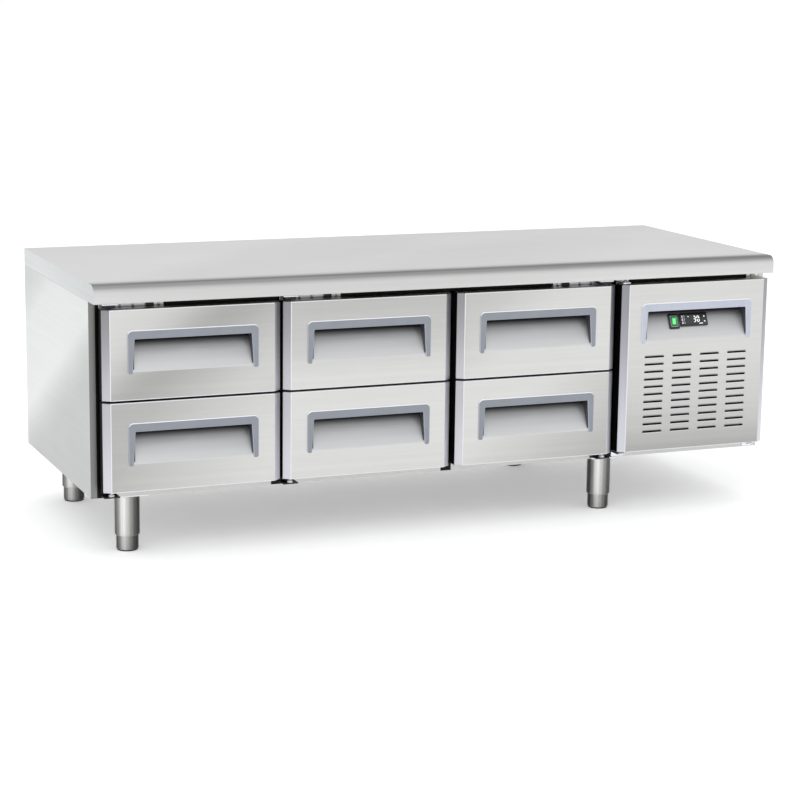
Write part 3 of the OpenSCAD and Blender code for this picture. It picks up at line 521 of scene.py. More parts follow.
def lathe_into(bm, prof, centre, axis="z", seg=48, mi=0, cap=True):
    """A turned shape: prof is a list of (radius, height) along the axis."""
    cx, cy, cz = centre
    rings = []
    for r, h in prof:
        ring = []
        for i in range(seg):
            a = 2 * math.pi * i / seg
            u, w = r * math.cos(a), r * math.sin(a)
            p = {"z": (cx + u, cy + w, cz + h), "y": (cx + u, cy + h, cz - w), "x": (cx + h, cy + u, cz + w)}[axis]
            ring.append(V(bm, *p))
        rings.append(ring)
    for a, b in zip(rings, rings[1:]):
        for i in range(seg):
            face(bm, [a[i], a[(i + 1) % seg], b[(i + 1) % seg], b[i]], mi)
    if cap:
        face(bm, list(reversed(rings[0])), mi)
        face(bm, rings[-1], mi)


def prism_into(bm, pts, place, t0, t1, mi=0):
    """A flat outline swept between two depths; place(u, v, t) gives the point."""
    a = [V(bm, *place(u, v, t0)) for u, v in pts]
    b = [V(bm, *place(u, v, t1)) for u, v in pts]
    n = len(pts)
    face(bm, list(reversed(a)), mi)
    face(bm, b, mi)
    for i in range(n):
        face(bm, [a[i], a[(i + 1) % n], b[(i + 1) % n], b[i]], mi)
    return a, b


def fix_normals(bm):
    bmesh.ops.recalc_face_normals(bm, faces=bm.faces[:])


def rounded(pts, r, n=6):
    """A polyline with its inner corners rounded; r is one radius or one per corner."""
    out = [pts[0]]
    for i in range(1, len(pts) - 1):
        p, a, b = Vector(pts[i]), Vector(pts[i - 1]), Vector(pts[i + 1])
        rr = r[i - 1] if isinstance(r, (list, tuple)) else r
        u, w = (a - p).normalized(), (b - p).normalized()
        ang = u.angle(w)
        if rr <= 0 or ang > math.pi - 1e-3:
            out.append(tuple(p))
            continue
        d = min(rr / math.tan(ang / 2), (a - p).length * 0.49, (b - p).length * 0.49)
        rr = d * math.tan(ang / 2)
        c = p + (u + w).normalized() * (rr / math.sin(ang / 2))
        s, e = p + u * d, p + w * d
        a0 = math.atan2(s.y - c.y, s.x - c.x)
        a1 = math.atan2(e.y - c.y, e.x - c.x)
        da = (a1 - a0 + math.pi) % (2 * math.pi) - math.pi
        for k in range(n + 1):
            t = a0 + da * k / n
            out.append((c.x + rr * math.cos(t), c.y + rr * math.sin(t)))
    out.append(pts[-1])
    return out


# ------------------------------------------------------------------ pressed fronts
def pressed_front(w, h, louvres=()):
    """The pressed steel front in its own frame: X along it, Y back from its flat face, Z up from its lower edge."""
    bm = bmesh.new()
    hw = w / 2
    left = rounded([(-hw, FRONT_T), (-hw, BEV_D), (-hw + BEV_W, 0.0), (-hw + BEV_W + 30, 0.0)], [2.2, 3.0], 6)[:-1]
    lx = left[-1][0]
    left.append((lx + 0.6, 0.0))
    right = [(-x, y) for x, y in reversed(left)]
    xs = set()
    x_in = lx + 0.6
    zs = h - DROP - HANDLE_H + 7
    for s in (-1, 1):
        for x in (SCOOP_HW, SCOOP_HW - 3, SCOOP_HW * 0.5, x_in * 0 + 158):
            xs.add(round(s * x, 4))
    xs.add(0.0)
    for (lxc, lz, lw) in louvres:
        for k in range(17):
            t = k / 16
            xs.add(round(lxc - lw / 2 * math.cos(math.pi * t), 4))
    xs = [x for x in sorted(xs) if x_in + 0.3 < x < -x_in - 0.3]
    prof = left + [(x, 0.0) for x in xs] + right
    n = len(prof)
    # normals along the profile for the rounded top and bottom edges
    nor = []
    for i in range(n):
        a = Vector(prof[max(i - 1, 0)])
        b = Vector(prof[min(i + 1, n - 1)])
        d = (b - a).normalized()
        nor.append((-d.y, d.x))       # points into the shell
    rr = 1.5
    steps = [0, 0.35, 0.7, 1.0]
    rows = []
    for k in reversed(steps):         # bottom edge
        t = k * math.pi / 2
        rows.append((rr - rr * math.sin(t), rr * (1 - math.cos(t))))
    rows.append((rr + 0.6, 0.0))
    zset = {round(zs - 3, 4), round(zs + SCOOP_H, 4), round(zs - 12, 4)}
    for (lxc, lz, lw) in louvres:
        for k in (0, 0.6, 2.0, 3.6, 5.4, 7.2, 8.6, 9.8):
            zset.add(round(lz + k, 4))
        zset.add(round(lz - 1.2, 4))
    zrows = sorted(zset)
    sc_rows = [zs - 3 + k for k in (0, 0.8, 1.8, 3.0, 4.2, 5.2, 6.0)] + [zs + 10, zs + 40, zs + 81.6, zs + 83]
    body_rows = []
    for z in zrows:
        if rr + 1 < z < h - rr - 1 and not (zs - 3 < z < zs + SCOOP_H):
            body_rows.append((z, 0.0, "n"))
    # rows inside the scoop's height only need its own samples
    for z in sc_rows[1:]:
        body_rows.append((z, 0.0, "s"))
    body_rows.sort(key=lambda a: a[0])
    allrows = [(z, d, "e") for z, d in rows] + body_rows
    allrows.append((h - rr - 0.6, 0.0, "e"))
    for k in steps:
        t = k * math.pi / 2
        allrows.append((h - rr + rr * math.sin(t), rr * (1 - math.cos(t)), "e"))
    grid = []
    for z, d, kind in allrows:
        grid.append([V(bm, prof[i][0] + nor[i][0] * d, prof[i][1] + nor[i][1] * d, z) for i in range(n)])
    # louvre lookup
    def in_louvre(xa, xb, za, zb):
        for (lxc, lz, lw) in louvres:
            if xa >= lxc - lw / 2 - 1e-3 and xb <= lxc + lw / 2 + 1e-3 and za >= lz - 1e-3 and zb <= lz + 9.8 + 1e-3:
                return True
        return False
    z_hi = zs + SCOOP_H
    for j in range(len(allrows) - 1):
        za, zb = allrows[j][0], allrows[j + 1][0]
        for i in range(n - 1):
            xa, xb = prof[i][0], prof[i + 1][0]
            flat = prof[i][1] == 0.0 and prof[i + 1][1] == 0.0
            if flat and xa >= -SCOOP_HW - 1e-3 and xb <= SCOOP_HW + 1e-3 and za >= zs - 3 - 1e-3 and zb <= z_hi + 1e-3:
                continue
            if flat and in_louvre(xa, xb, za, zb):
                continue
            ya, yb_ = prof[i][1], prof[i + 1][1]
            # Slot 1, the bevel, carries a painted reflection ramp.
            slant = not flat and max(ya, yb_) <= BEV_D + 2.6 and abs(prof[i][0]) > hw - BEV_W - 4
            mi = 1 if slant else 0
            # Painted highlight: the bend on the left side of the flat gets the near-white strip.
            if slant and max(ya, yb_) < 1.6 and xa < 0:
                mi = 4
            # Painted shade: the sides going back get the dark return colour.
            if not flat and max(ya, yb_) > BEV_D + 2.6:
                mi = 5
            # Painted highlight: the rounded top and bottom edges.
            if flat and (j <= 3 or j >= len(allrows) - 5) and allrows[j][2] == "e":
                mi = 4
            # Painted highlight: the lip under each louvre's slot.
            if flat and any(abs(zb - lz) < 1e-3 and xa >= lxc - lw / 2 - 1e-3 and xb <= lxc + lw / 2 + 1e-3 for (lxc, lz, lw) in louvres):
                mi = 4
            face(bm, [grid[j][i], grid[j][i + 1], grid[j + 1][i + 1], grid[j + 1][i]], mi)
    # caps: the folded returns at the top and the bottom
    for ring, rev in ((grid[0], False), (grid[-1], True)):
        f = face(bm, list(ring) if rev else list(reversed(ring)), 0)
    # the finger scoop
    slope = (SCOOP_D) / (SCOOP_H - 6)
    ci = [i for i in range(n) if prof[i][1] == 0.0 and -SCOOP_HW - 1e-3 <= prof[i][0] <= SCOOP_HW + 1e-3]
    rj = [j for j in range(len(allrows)) if zs - 3 - 1e-3 <= allrows[j][0] <= z_hi + 1e-3]
    def sy(z):
        t = z - zs
        if t <= -3:
            return 0.0
        if t < 3:
            return slope * (t + 3) ** 2 / 12
        return min(slope * t, SCOOP_D)
    prev = [grid[rj[0]][i] for i in ci]
    for a, b in zip(rj, rj[1:]):
        zb = allrows[b][0]
        cur = [V(bm, prof[i][0], sy(zb), zb) for i in ci]
        for k in range(len(ci) - 1):
            face(bm, [prev[k], prev[k + 1], cur[k + 1], cur[k]], 2)
        for k, i in ((0, ci[0]), (len(ci) - 1, ci[-1])):
            q = [grid[a][i], prev[k], cur[k], grid[b][i]]
            face(bm, q if k == 0 else list(reversed(q)), 2)
        prev = cur
    top = grid[rj[-1]]
    for k in range(len(ci) - 1):
        face(bm, [prev[k], prev[k + 1], top[ci[k + 1]], top[ci[k]]], 2)
    # louvres pressed inwards above a straight slot
    for (lxc, lz, lw) in louvres:
        li = [i for i in range(n) if prof[i][1] == 0.0 and lxc - lw / 2 - 1e-3 <= prof[i][0] <= lxc + lw / 2 + 1e-3]
        lj = [j for j in range(len(allrows)) if lz - 1e-3 <= allrows[j][0] <= lz + 9.8 + 1e-3]
        def dent(x, z):
            u = abs(x - lxc) / (lw / 2)
            e = min(1.0, (1 - u) / 0.16)
            e = math.sqrt(max(0.0, 1 - (1 - e) ** 2)) if u < 1 else 0.0
            t = (z - lz) / 9.8
            return 6.5 * e * (1 - min(1.0, t)) ** 2.4
        vs = {}
        for j in lj:
            for i in li:
                edge = i in (li[0], li[-1]) or j == lj[-1]
                vs[i, j] = grid[j][i] if edge else V(bm, prof[i][0], dent(prof[i][0], allrows[j][0]), allrows[j][0] - 0.0)
        for a, b in zip(lj, lj[1:]):
            for p, q in zip(li, li[1:]):
                face(bm, [vs[p, a], vs[q, a], vs[q, b], vs[p, b]], 3)
    bmesh.ops.recalc_face_normals(bm, faces=bm.faces[:])
    # make sure that the flat face looks forward
    big = max(bm.faces, key=lambda f: f.calc_area() if f.material_index == 0 and abs(f.normal.y) > 0.9 else 0)
    if big.normal.y > 0:
        bmesh.ops.reverse_faces(bm, faces=bm.faces[:])
    for v in [v for v in bm.verts if not v.link_faces]:
        bm.verts.remove(v)
    return bm


def handle_outline(zt):
    hw, r = HANDLE_W / 2, 12.0
    zb = zt - HANDLE_H
    out = []
    # outer side, from the left foot clockwise over the bar to the right foot
    def arc(cx, cz, rad, a0, a1, n):
        for k in range(n + 1):
            a = math.radians(a0 + (a1 - a0) * k / n)
            out.append((cx + rad * math.cos(a), cz + rad * math.sin(a)))
    f = 5.0
    arc(-hw + f, zb + f, f, 270, 180, 5)
    arc(-hw + r, zt - r, r, 180, 90, 8)
    arc(hw - r, zt - r, r, 90, 0, 8)
    arc(hw - f, zb + f, f, 0, -90, 5)
    arc(hw - 12 + f * 0.6, zb + f * 0.6, f * 0.6, -90, -180, 4)
    out.append((hw - 12 - 0.6, zb + 12))
    out.append((hw - 17, zt - BAR_H - 1.2))
    out.append((hw - 18.2, zt - BAR_H))
    out.append((-hw + 18.2, zt - BAR_H))
    out.append((-hw + 17, zt - BAR_H - 1.2))
    out.append((-hw + 12 + 0.6, zb + 12))
    arc(-hw + 12 - f * 0.6, zb + f * 0.6, f * 0.6, 0, -90, 4)
    return out


def handle_mesh(h):
    """The U-shaped grip frame, its bar and the cheeks that close the scoop."""
    bm = bmesh.new()
    zt = h - DROP
    pts = handle_outline(zt)
    a, b = prism_into(bm, pts, lambda u, v, t: (u, t, v), -PROUD, 0.25)
    fix_normals(bm)
    ed = [e for e in bm.edges if all(v in set(a) for v in e.verts)]
    bmesh.ops.bevel(bm, geom=ed, offset=2.3 * MM, offset_type="OFFSET", segments=5, profile=0.5, affect="EDGES", clamp_overlap=True)
    # grip behind the bar, with a rounded lower edge
    zs = zt - HANDLE_H + 7
    grip = rounded([(0.2, zt - BAR_H), (11.6, zt - BAR_H), (11.6, zs + SCOOP_H - 0.5)], [3.0], 5) + [(0.2, zs + SCOOP_H - 0.5)]
    x = HANDLE_W / 2 - 13.5
    prism_into(bm, grip, lambda u, v, t: (t, u, v), -x, x, 0)
    s = (SCOOP_H - 6) / SCOOP_D
    for i in (-1, 1):
        xa = i * (HANDLE_W / 2 - 14.6) - 1
        prism_into(bm, [(0.2, zs + 3.2), (SCOOP_D - 1, zs + s * (SCOOP_D - 1) + 3), (SCOOP_D - 1, zs + SCOOP_H - 0.5), (0.2, zs + SCOOP_H - 0.5)],
                   lambda u, v, t: (t, u, v), xa, xa + 2, 1)
    fix_normals(bm)
    return bm


def gasket_mesh():
    """Magnetic bellows gasket: a ring with a hollow bulb, a groove and a lip, mitred at its corners."""
    bm = bmesh.new()
    o, g = 8.0, 17.0
    y = FRONT_T
    prof = [(0.0, 1.5), (0.6, 2.7), (2.2, 3.1), (2.2, 3.9), (0.5, 4.3), (0.0, 5.2), (0.8, 6.1), (3.5, 6.3), (6.5, 5.9), (8.5, 6.3),
            (11.0, 6.3), (13.8, 6.0), (15.8, 6.2), (16.8, 5.4), (17.0, 4.4), (15.0, 3.9), (15.0, 3.1), (16.8, 2.7), (17.0, 1.5)]
    rings = []
    cs = [(-1, -1), (1, -1), (1, 1), (-1, 1)]
    hw, hh = FRONT_W / 2, FRONT_H / 2
    for d, dy in prof:
        ring = []
        for sx, sz in cs:
            ring.append(V(bm, sx * (hw - o - d), y + dy, hh + sz * (hh - o - d)))
        rings.append(ring)
    m = len(prof)
    for k in range(m):
        a, b = rings[k], rings[(k + 1) % m]
        for i in range(4):
            face(bm, [a[i], a[(i + 1) % 4], b[(i + 1) % 4], b[i]])
    fix_normals(bm)
    return bm


def centre_of(node):
    lo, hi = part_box(node)
    return (lo.x + hi.x) / 2 / MM, lo.z / MM


front_mesh = handle_me = gasket_me = None
for r in ROWS:
    for c in COLS:
        s = "%s_%s" % (r, c)
        cx, z = centre_of("drawer_front_" + s)
        body = "drawer_" + s
        obj("front_skin_" + s, pressed_front(FRONT_W, FRONT_H), [M["front_" + s], M["bevel" if r == "upper" else "bevel_low"], M["scoop"], M["panel"], M["bend"], M["return"]], body,
            ["drawer_front_" + s], (cx, YF, z), 32, solid=1.1)
        obj("handle_grip_" + s, handle_mesh(FRONT_H), [M["handle"], M["handle_dark"]], body,
            ["drawer_handle_" + s], (cx, YF, z), 30)
        obj("gasket_ring_" + s, gasket_mesh(), [M["gasket"]], body, ["drawer_gasket_" + s], (cx, YF, z), 40)

# ------------------------------------------------------------------ machine panel
pcx, pz = centre_of("machine_panel")
louvres = [((i - 1.5) * 80.1 + 1.0, 241.6 - 19.4 * j, 55.0) for j in range(11) for i in range(4)]


def louvre_shade(m):
    """Painted shade: the pressed dent darkens into its slot."""
    t = m.math("WRAP", m.math("SUBTRACT", coord(m, 2), 47.6), 19.4, 0.0)
    return m.ramp(m.math("DIVIDE", t, 10.0, clamp=True), [(0.0, 0.05), (0.18, 0.08), (0.32, 0.26), (0.55, 0.62), (0.85, 0.95)], "LINEAR")


# Painted shade in the louvre dents, on top of the panel's painted ramp that is darker towards the bottom.
M["louvre"] = steel("louvre_steel", "#d4d4d2", 0.38, 0, [((0, 0, 1), [(0, 174), (12, 178), (30, 184), (56, 193), (138, 207), (255, 217), (430, 221)])], painted_light_fn=louvre_shade)
obj("machine_panel_skin", pressed_front(PANEL_W, PANEL_H, louvres), [M["panel"], M["panel_bevel"], M["scoop_panel"], M["louvre"], M["bend"], M["return"]], "machine_door",
    ["machine_panel"], (pcx, YF, pz), 32, solid=1.0)
obj("machine_handle_grip", handle_mesh(PANEL_H), [M["handle_light"], M["handle_dark"]], "machine_door",
    ["machine_panel_handle"], (pcx, YF, pz), 30)

# frame of the finger scoop's slope, where the controller and the switch sit
SL = math.atan2(SCOOP_H - 6, SCOOP_D)
zs_p = PANEL_H - DROP - HANDLE_H + 7


def slope_pt(x, s, n):
    """x along the panel, s up the slope and n out of it, in the row frame."""
    return (pcx + x, YF + s * math.cos(SL) - n * math.sin(SL), pz + zs_p + s * math.sin(SL) + n * math.cos(SL))


def plate_into(bm, cx, cs, w, h, n0, n1, r=2.0, mi=0, seg=5, lift=0.0):
    """A rounded plate on the slope between heights n0 and n1."""
    pts = []
    for sx, sz, a0 in ((1, 1, 0), (-1, 1, 90), (-1, -1, 180), (1, -1, 270)):
        for k in range(seg + 1):
            a = math.radians(a0 + 90 * k / seg)
            pts.append((cx + sx * (w / 2 - r) + r * math.cos(a), cs + sz * (h / 2 - r) + r * math.sin(a)))
    return prism_into(bm, pts, lambda u, v, t: slope_pt(u, v, t), n0, n1, mi)


CT, CS, SW, SS = 0.0, 48.4, -57.0, 46.0
bm = bmesh.new()
a, b = plate_into(bm, CT, CS, 80, 35, 0.1, 4.5, 3.0)
fix_normals(bm)
bmesh.ops.bevel(bm, geom=[e for e in bm.edges if all(v in set(b) for v in e.verts)], offset=1.2 * MM, segments=3, profile=0.5, affect="EDGES")
plate_into(bm, CT, CS, 70.5, 28.5, -20, 0.1, 1.0)
fix_normals(bm)
obj("controller_case", bm, [M["bezel"]], "machine_door", ["controller_body"], smooth=35)
bm = bmesh.new()
plate_into(bm, CT - 4, CS, 45, 24, 4.3, 4.75, 1.5)
fix_normals(bm)
obj("display_window", bm, [M["window"]], "machine_door", smooth=35)


def seg_digit(bm, cx, cs, w, h, on, t, n0=4.7, n1=4.95, lean=0.12):
    """A seven-segment figure drawn as bars."""
    def bar(u0, v0, u1, v1):
        du, dv = u1 - u0, v1 - v0
        l = math.hypot(du, dv)
        du, dv = du / l, dv / l
        pu, pv = -dv * t / 2, du * t / 2
        g = t * 0.35
        pts = [(u0 + du * g, v0 + dv * g), (u0 + du * (g + t / 2) + pu, v0 + dv * (g + t / 2) + pv), (u1 - du * (g + t / 2) + pu, v1 - dv * (g + t / 2) + pv),
               (u1 - du * g, v1 - dv * g), (u1 - du * (g + t / 2) - pu, v1 - dv * (g + t / 2) - pv), (u0 + du * (g + t / 2) - pu, v0 + dv * (g + t / 2) - pv)]
        pts = [(cx + a + (b) * lean, cs + b) for a, b in pts]
        prism_into(bm, pts, lambda u, v, q: slope_pt(u, v, q), n0, n1)
    a, b = w / 2, h / 2
    where = {"a": (-a, b, a, b), "b": (a, b, a, 0), "c": (a, 0, a, -b), "d": (-a, -b, a, -b), "e": (-a, -b, -a, 0), "f": (-a, 0, -a, b), "g": (-a, 0, a, 0)}
    for k in on:
        bar(*where[k])


bm = bmesh.new()
seg_digit(bm, CT + 2.2, CS + 0.4, 5.6, 14.5, "abgcd", 1.8, lean=0.0)
seg_digit(bm, CT + 12.6, CS + 0.4, 5.6, 14.5, "abcdef", 1.8, lean=0.0)
plate_into(bm, CT - 15.3, CS + 7.0, 2.4, 2.4, 4.7, 4.95, 1.1)
plate_into(bm, CT + 19.5, CS - 11.6, 11.0, 1.4, 4.7, 4.95, 0.6)
fix_normals(bm)
obj("display_digits", bm, [M["digit"]], "machine_door", smooth=35)
bm = bmesh.new()
for k in (-1, 1):                     # small function marks beside the display
    for j in (-1, 0, 1):
        u, v = CT + k * 34 - (2.5 if k > 0 else -1.5), CS + j * 8.2
        if k > 0 and j == 0:
            continue
        if k < 0:
            plate_into(bm, u - 0.2, v + 1.9, 4.6, 1.1, 4.45, 4.62, 0.5)
            plate_into(bm, u - 0.2, v - 1.9, 4.6, 1.1, 4.45, 4.62, 0.5)
            plate_into(bm, u - 0.8, v, 2.6, 1.1, 4.45, 4.62, 0.5)
            plate_into(bm, u + 5.4, v, 0.8, 6.0, 4.45, 4.62, 0.4)
fix_normals(bm)
obj("function_marks", bm, [M["icon"]], "machine_door", smooth=35)
for k, nm in ((1, "up"), (-1, "down")):
    bm = bmesh.new()
    cx, cs = CT + 31, CS + k * 7
    a, b = plate_into(bm, cx, cs, 7.9, 7.9, 1.4, 4.8, 1.2)
    fix_normals(bm)
    bmesh.ops.bevel(bm, geom=[e for e in bm.edges if all(v in set(b) for v in e.verts)], offset=0.5 * MM, segments=2, profile=0.5, affect="EDGES")
    tri = [(cx - 2.8, cs - 1.9 * k), (cx + 2.8, cs - 1.9 * k), (cx, cs + 2.4 * k)]
    if k < 0:
        tri.reverse()
    prism_into(bm, tri, lambda u, v, t: slope_pt(u, v, t), 4.78, 4.92, 1)
    fix_normals(bm)
    obj("push_key_" + nm, bm, [M["key"], M["icon"]], nm + "_key", ["key_" + nm], smooth=35)

# switch: a bezel ring round a lit rocker
bm = bmesh.new()


def ring_into(bm, cx, cs, w, h, wi, hi, n0, n1, r=2.5, ri=1.0, seg=5, mi=0):
    def loop(w_, h_, r_, n_):
        out = []
        for sx, sz, a0 in ((1, 1, 0), (-1, 1, 90), (-1, -1, 180), (1, -1, 270)):
            for k in range(seg + 1):
                a = math.radians(a0 + 90 * k / seg)
                out.append(V(bm, *slope_pt(cx + sx * (w_ / 2 - r_) + r_ * math.cos(a), cs + sz * (h_ / 2 - r_) + r_ * math.sin(a), n_)))
        return out
    L = [loop(w, h, r, n0), loop(w, h, r, n1 - 1.0), loop(w - 0.6, h - 0.6, r, n1 - 0.3), loop(w - 2.0, h - 2.0, r, n1), loop(wi + 1.6, hi + 1.6, ri + 0.8, n1),
         loop(wi + 0.4, hi + 0.4, ri, n1 - 0.5), loop(wi, hi, ri, n1 - 1.2), loop(wi, hi, ri, n0)]
    for a, b in zip(L, L[1:] + [L[0]]):
        for i in range(len(a)):
            face(bm, [a[i], a[(i + 1) % len(a)], b[(i + 1) % len(a)], b[i]], mi)


ring_into(bm, SW, SS, 29, 40, 17.6, 26.6, 0.1, 3.5)
ring_into(bm, SW, SS, 20.5, 29.5, 17.7, 26.7, 3.2, 4.0, 1.6, 1.0, 4, 1)
fix_normals(bm)
obj("switch_surround", bm, [M["bezel"], M["rim"]], "machine_door", ["switch_bezel"], smooth=35)
# well behind the rocker
bm = bmesh.new()
ring_into(bm, SW, SS, 22, 30, 17.7, 26.7, -22.0, 0.1, 1.0, 0.8, 3)
plate_into(bm, SW, SS, 21, 29, -24.0, -22.0, 1.0)
fix_normals(bm)
obj("switch_well", bm, [M["bezel"]], "machine_door", smooth=35)
tilt = math.radians(8)


def rock_pt(x, s, n):
    """A point of the rocker, tilted about its pivot."""
    return slope_pt(SW + x, SS + s * math.cos(tilt) - n * math.sin(tilt), 1.0 + s * math.sin(tilt) + n * math.cos(tilt))


bm = bmesh.new()
prof = rounded([(-11.4, -1.0), (-12.0, 3.4), (0.0, 2.2), (12.0, 3.4), (11.4, -1.0)], [0.8, 10.0, 0.8], 5) + [(4.0, -5.0), (-4.0, -5.0)]
prism_into(bm, prof, lambda u, v, t: rock_pt(t, u, v), -8.0, 8.0)
fix_normals(bm)
obj("rocker_body", bm, [M["rocker_body"]], "power_rocker", ["switch_rocker"], smooth=35, bevel=0.4)
bm = bmesh.new()
for lens, mi, w_, a_, b_ in ((0, 0, 15.0, -10.9, 10.9), (1, 1, 8.5, -7.2, 7.2)):
    st = 8
    top = []
    for k in range(st + 1):
        s_ = a_ + (b_ - a_) * k / st
        n_ = 2.45 + 0.09 * abs(s_) + 0.28 + 0.16 * lens
        top.append((s_, n_))
    pts = top + [(b_, 1.9 + 0.09 * b_), (a_, 1.9 + 0.09 * b_)]
    prism_into(bm, pts, lambda u, v, t: rock_pt(t, u, v), -w_ / 2, w_ / 2, mi)
fix_normals(bm)
obj("rocker_lens", bm, [M["green"], M["green_hot"]], "power_rocker", smooth=35)

# ------------------------------------------------------------------ worktop
NR, TK = 19.0, 1.5


def worktop_mesh():
    bm = bmesh.new()
    def prof(t):
        out = []
        for k in range(15):
            a = math.radians(180 - 90 * k / 14)
            out.append((Y0 + NR + (NR - t) * math.cos(a), ZTOP - NR + (NR - t) * math.sin(a)))
        return out
    outer = [(Y0, ZT)] + prof(0) + [(YB, ZTOP), (YB, ZT)]
    inner = [(Y0 + 26, ZT), (Y0 + 26, ZT + TK), (Y0 + TK, ZT + TK)] + prof(TK) + [(YB - TK, ZTOP - TK), (YB - TK, ZT)]
    xa, xb, ya, yb = X0, X1, X0 + TK, X1 - TK
    def loops(pts, p, q):
        return [V(bm, p, y, z) for y, z in pts], [V(bm, q, y, z) for y, z in pts]
    oa, ob = loops(outer, xa, xb)
    ia, ib = loops(inner, ya, yb)
    face(bm, oa, 1)
    face(bm, list(reversed(ob)), 1)
    for k in range(len(outer) - 1):
        face(bm, [oa[k], ob[k], ob[k + 1], oa[k + 1]], 0)
    face(bm, list(reversed(ia)), 0)
    face(bm, ib, 0)
    for k in range(len(inner) - 1):
        face(bm, [ia[k + 1], ib[k + 1], ib[k], ia[k]], 0)
    # the underside round the mouth
    face(bm, [oa[0], ia[0], ib[0], ob[0]], 0)
    face(bm, [oa[-1], ob[-1], ib[-1], ia[-1]], 0)
    face(bm, [oa[0], oa[-1], ia[-1], ia[0]], 0)
    face(bm, [ob[0], ib[0], ib[-1], ob[-1]], 0)
    fix_normals(bm)
    return bm


obj("worktop_sheet", worktop_mesh(), [M["worktop"], M["worktop_end"]], "cabinet", ["worktop"], smooth=30, bevel=0.9, seg=3, weighted=True)

# ------------------------------------------------------------------ legs and feet
foot_names = ["front_left", "front_right", "rear_left", "rear_right"]
fc = {}
for nm in foot_names:
    lo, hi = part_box("foot_" + nm)
    fc[nm] = ((lo.x + hi.x) / 2 / MM, (lo.y + hi.y) / 2 / MM)
bm = bmesh.new()
for nm in foot_names:
    x, y = fc[nm]
    pr = [(26.75, 42.0), (26.75, 37.4), (27.2, 37.0), (28.3, 37.2), (29.4, 38.9), (29.9, 40.2), (30.0, 41.5), (30.0, 131.0), (30.0, 132.2), (31.2, 132.6),
          (33.4, 133.0), (34.4, 134.0), (34.4, 136.6), (30.0, 137.2), (26.75, 137.2)]
    lathe_into(bm, pr + [pr[0]], (x, y, 0), "z", 64, 0, cap=False)
fix_normals(bm)
sl = obj("leg_tubes", bm, [M["leg"]], "cabinet", ["leg_sleeves"], smooth=30)
bm = bmesh.new()
for nm in foot_names:
    x, y = fc[nm]
    box_into(bm, x - 42, x + 42, y - 42, y + 42, 137.0, 139.9)
    for i in (-1, 1):
        for k in (-1, 1):
            lathe_into(bm, [(5.2, 0.2), (5.0, -1.2), (3.2, -2.2), (0.6, -2.4)], (x + i * 33, y + k * 33, 137.0), "z", 20)
fix_normals(bm)
obj("leg_plates", bm, [M["zinc"]], "cabinet", smooth=30, bevel=0.6)
for nm in foot_names:
    x, y = fc[nm]
    bm = bmesh.new()
    pr = [(21.0, 3.0), (24.9, 3.0), (26.3, 4.6), (26.7, 5.6), (26.7, 7.0), (26.7, 100.5), (26.0, 102.2), (24.6, 102.8), (24.2, 102.0), (24.2, 9.0), (0.5, 9.0)]
    lathe_into(bm, pr, (x, y, 0), "z", 64)
    fix_normals(bm)
    obj("foot_tube_" + nm, bm, [M["foot"]], "adjustable_foot_" + nm, ["foot_" + nm], smooth=30)
    bm = bmesh.new()
    lathe_into(bm, [(0.5, 0.0), (22.0, 0.0), (24.2, 0.25), (24.9, 1.0), (24.9, 2.6), (24.4, 3.1), (20.0, 3.4), (0.5, 3.4)], (x, y, 0), "z", 64)
    fix_normals(bm)
    obj("foot_pad_" + nm, bm, [M["pad"]], "adjustable_foot_" + nm, smooth=30)

# ------------------------------------------------------------------ hinge and front hardware
zinc = bmesh.new()
blk = bmesh.new()
scr = bmesh.new()
bush = bmesh.new()


def screw(x, y, z, r=3.5):
    """A pan-head screw facing forwards, with a crossed recess."""
    lathe_into(scr, [(r + 0.3, 0.15), (r, -0.7), (r * 0.8, -1.5), (r * 0.45, -1.9), (0.3, -2.0)], (x, y, z), "y", 20, 0)
    for a in (0, 1):
        w, h = (r * 1.0, 0.7) if a else (0.7, r * 1.0)
        box_into(scr, x - w / 2, x + w / 2, y - 2.12, y - 1.6, z - h / 2, z + h / 2, 1)


cx_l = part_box("drawer_front_upper_left")[0].x / MM
cx_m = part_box("drawer_front_upper_middle")[0].x / MM
cx_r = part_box("drawer_front_upper_right")[0].x / MM
tops = [(cx_l + 3, cx_l + 158, 1), (cx_m + 3, cx_m + 158, 1), (cx_r + FRONT_W - 3, cx_r + FRONT_W - 158, -1)]
for xa, xb, s in tops:
    lo, hi = min(xa, xb), max(xa, xb)
    box_into(zinc, lo, hi, YBODY - 2, YBODY - 0.02, ZT - 20, ZT - 1)
    a, b = (xa, xa + 38 * s) if s > 0 else (xa - 38, xa)
    box_into(zinc, a, b, YBODY - 32, YBODY - 1, ZT - 6, ZT - 3)
    for i in range(4):
        screw(xa + s * (50 + i * (155 - 62) / 3), YBODY - 2, ZT - 12.2)
    # plastic guide block on the plate's leg
    box_into(blk, min(xa + 5 * s, xa + 33 * s), max(xa + 5 * s, xa + 33 * s), YBODY - 29, YBODY - 8, ZT - 13.0, ZT - 6.0)
    box_into(blk, min(xa + 112 * s, xa + 130 * s), max(xa + 112 * s, xa + 130 * s), YBODY - 8, YBODY - 2, ZT - 18, ZT - 4)
    lathe_into(bush, [(4.6, -0.4), (5.0, -0.9), (5.0, -5.0), (4.4, -5.6), (0.5, -5.6)], (xa + 19 * s, YBODY - 20, ZT - 6.0), "z", 24)
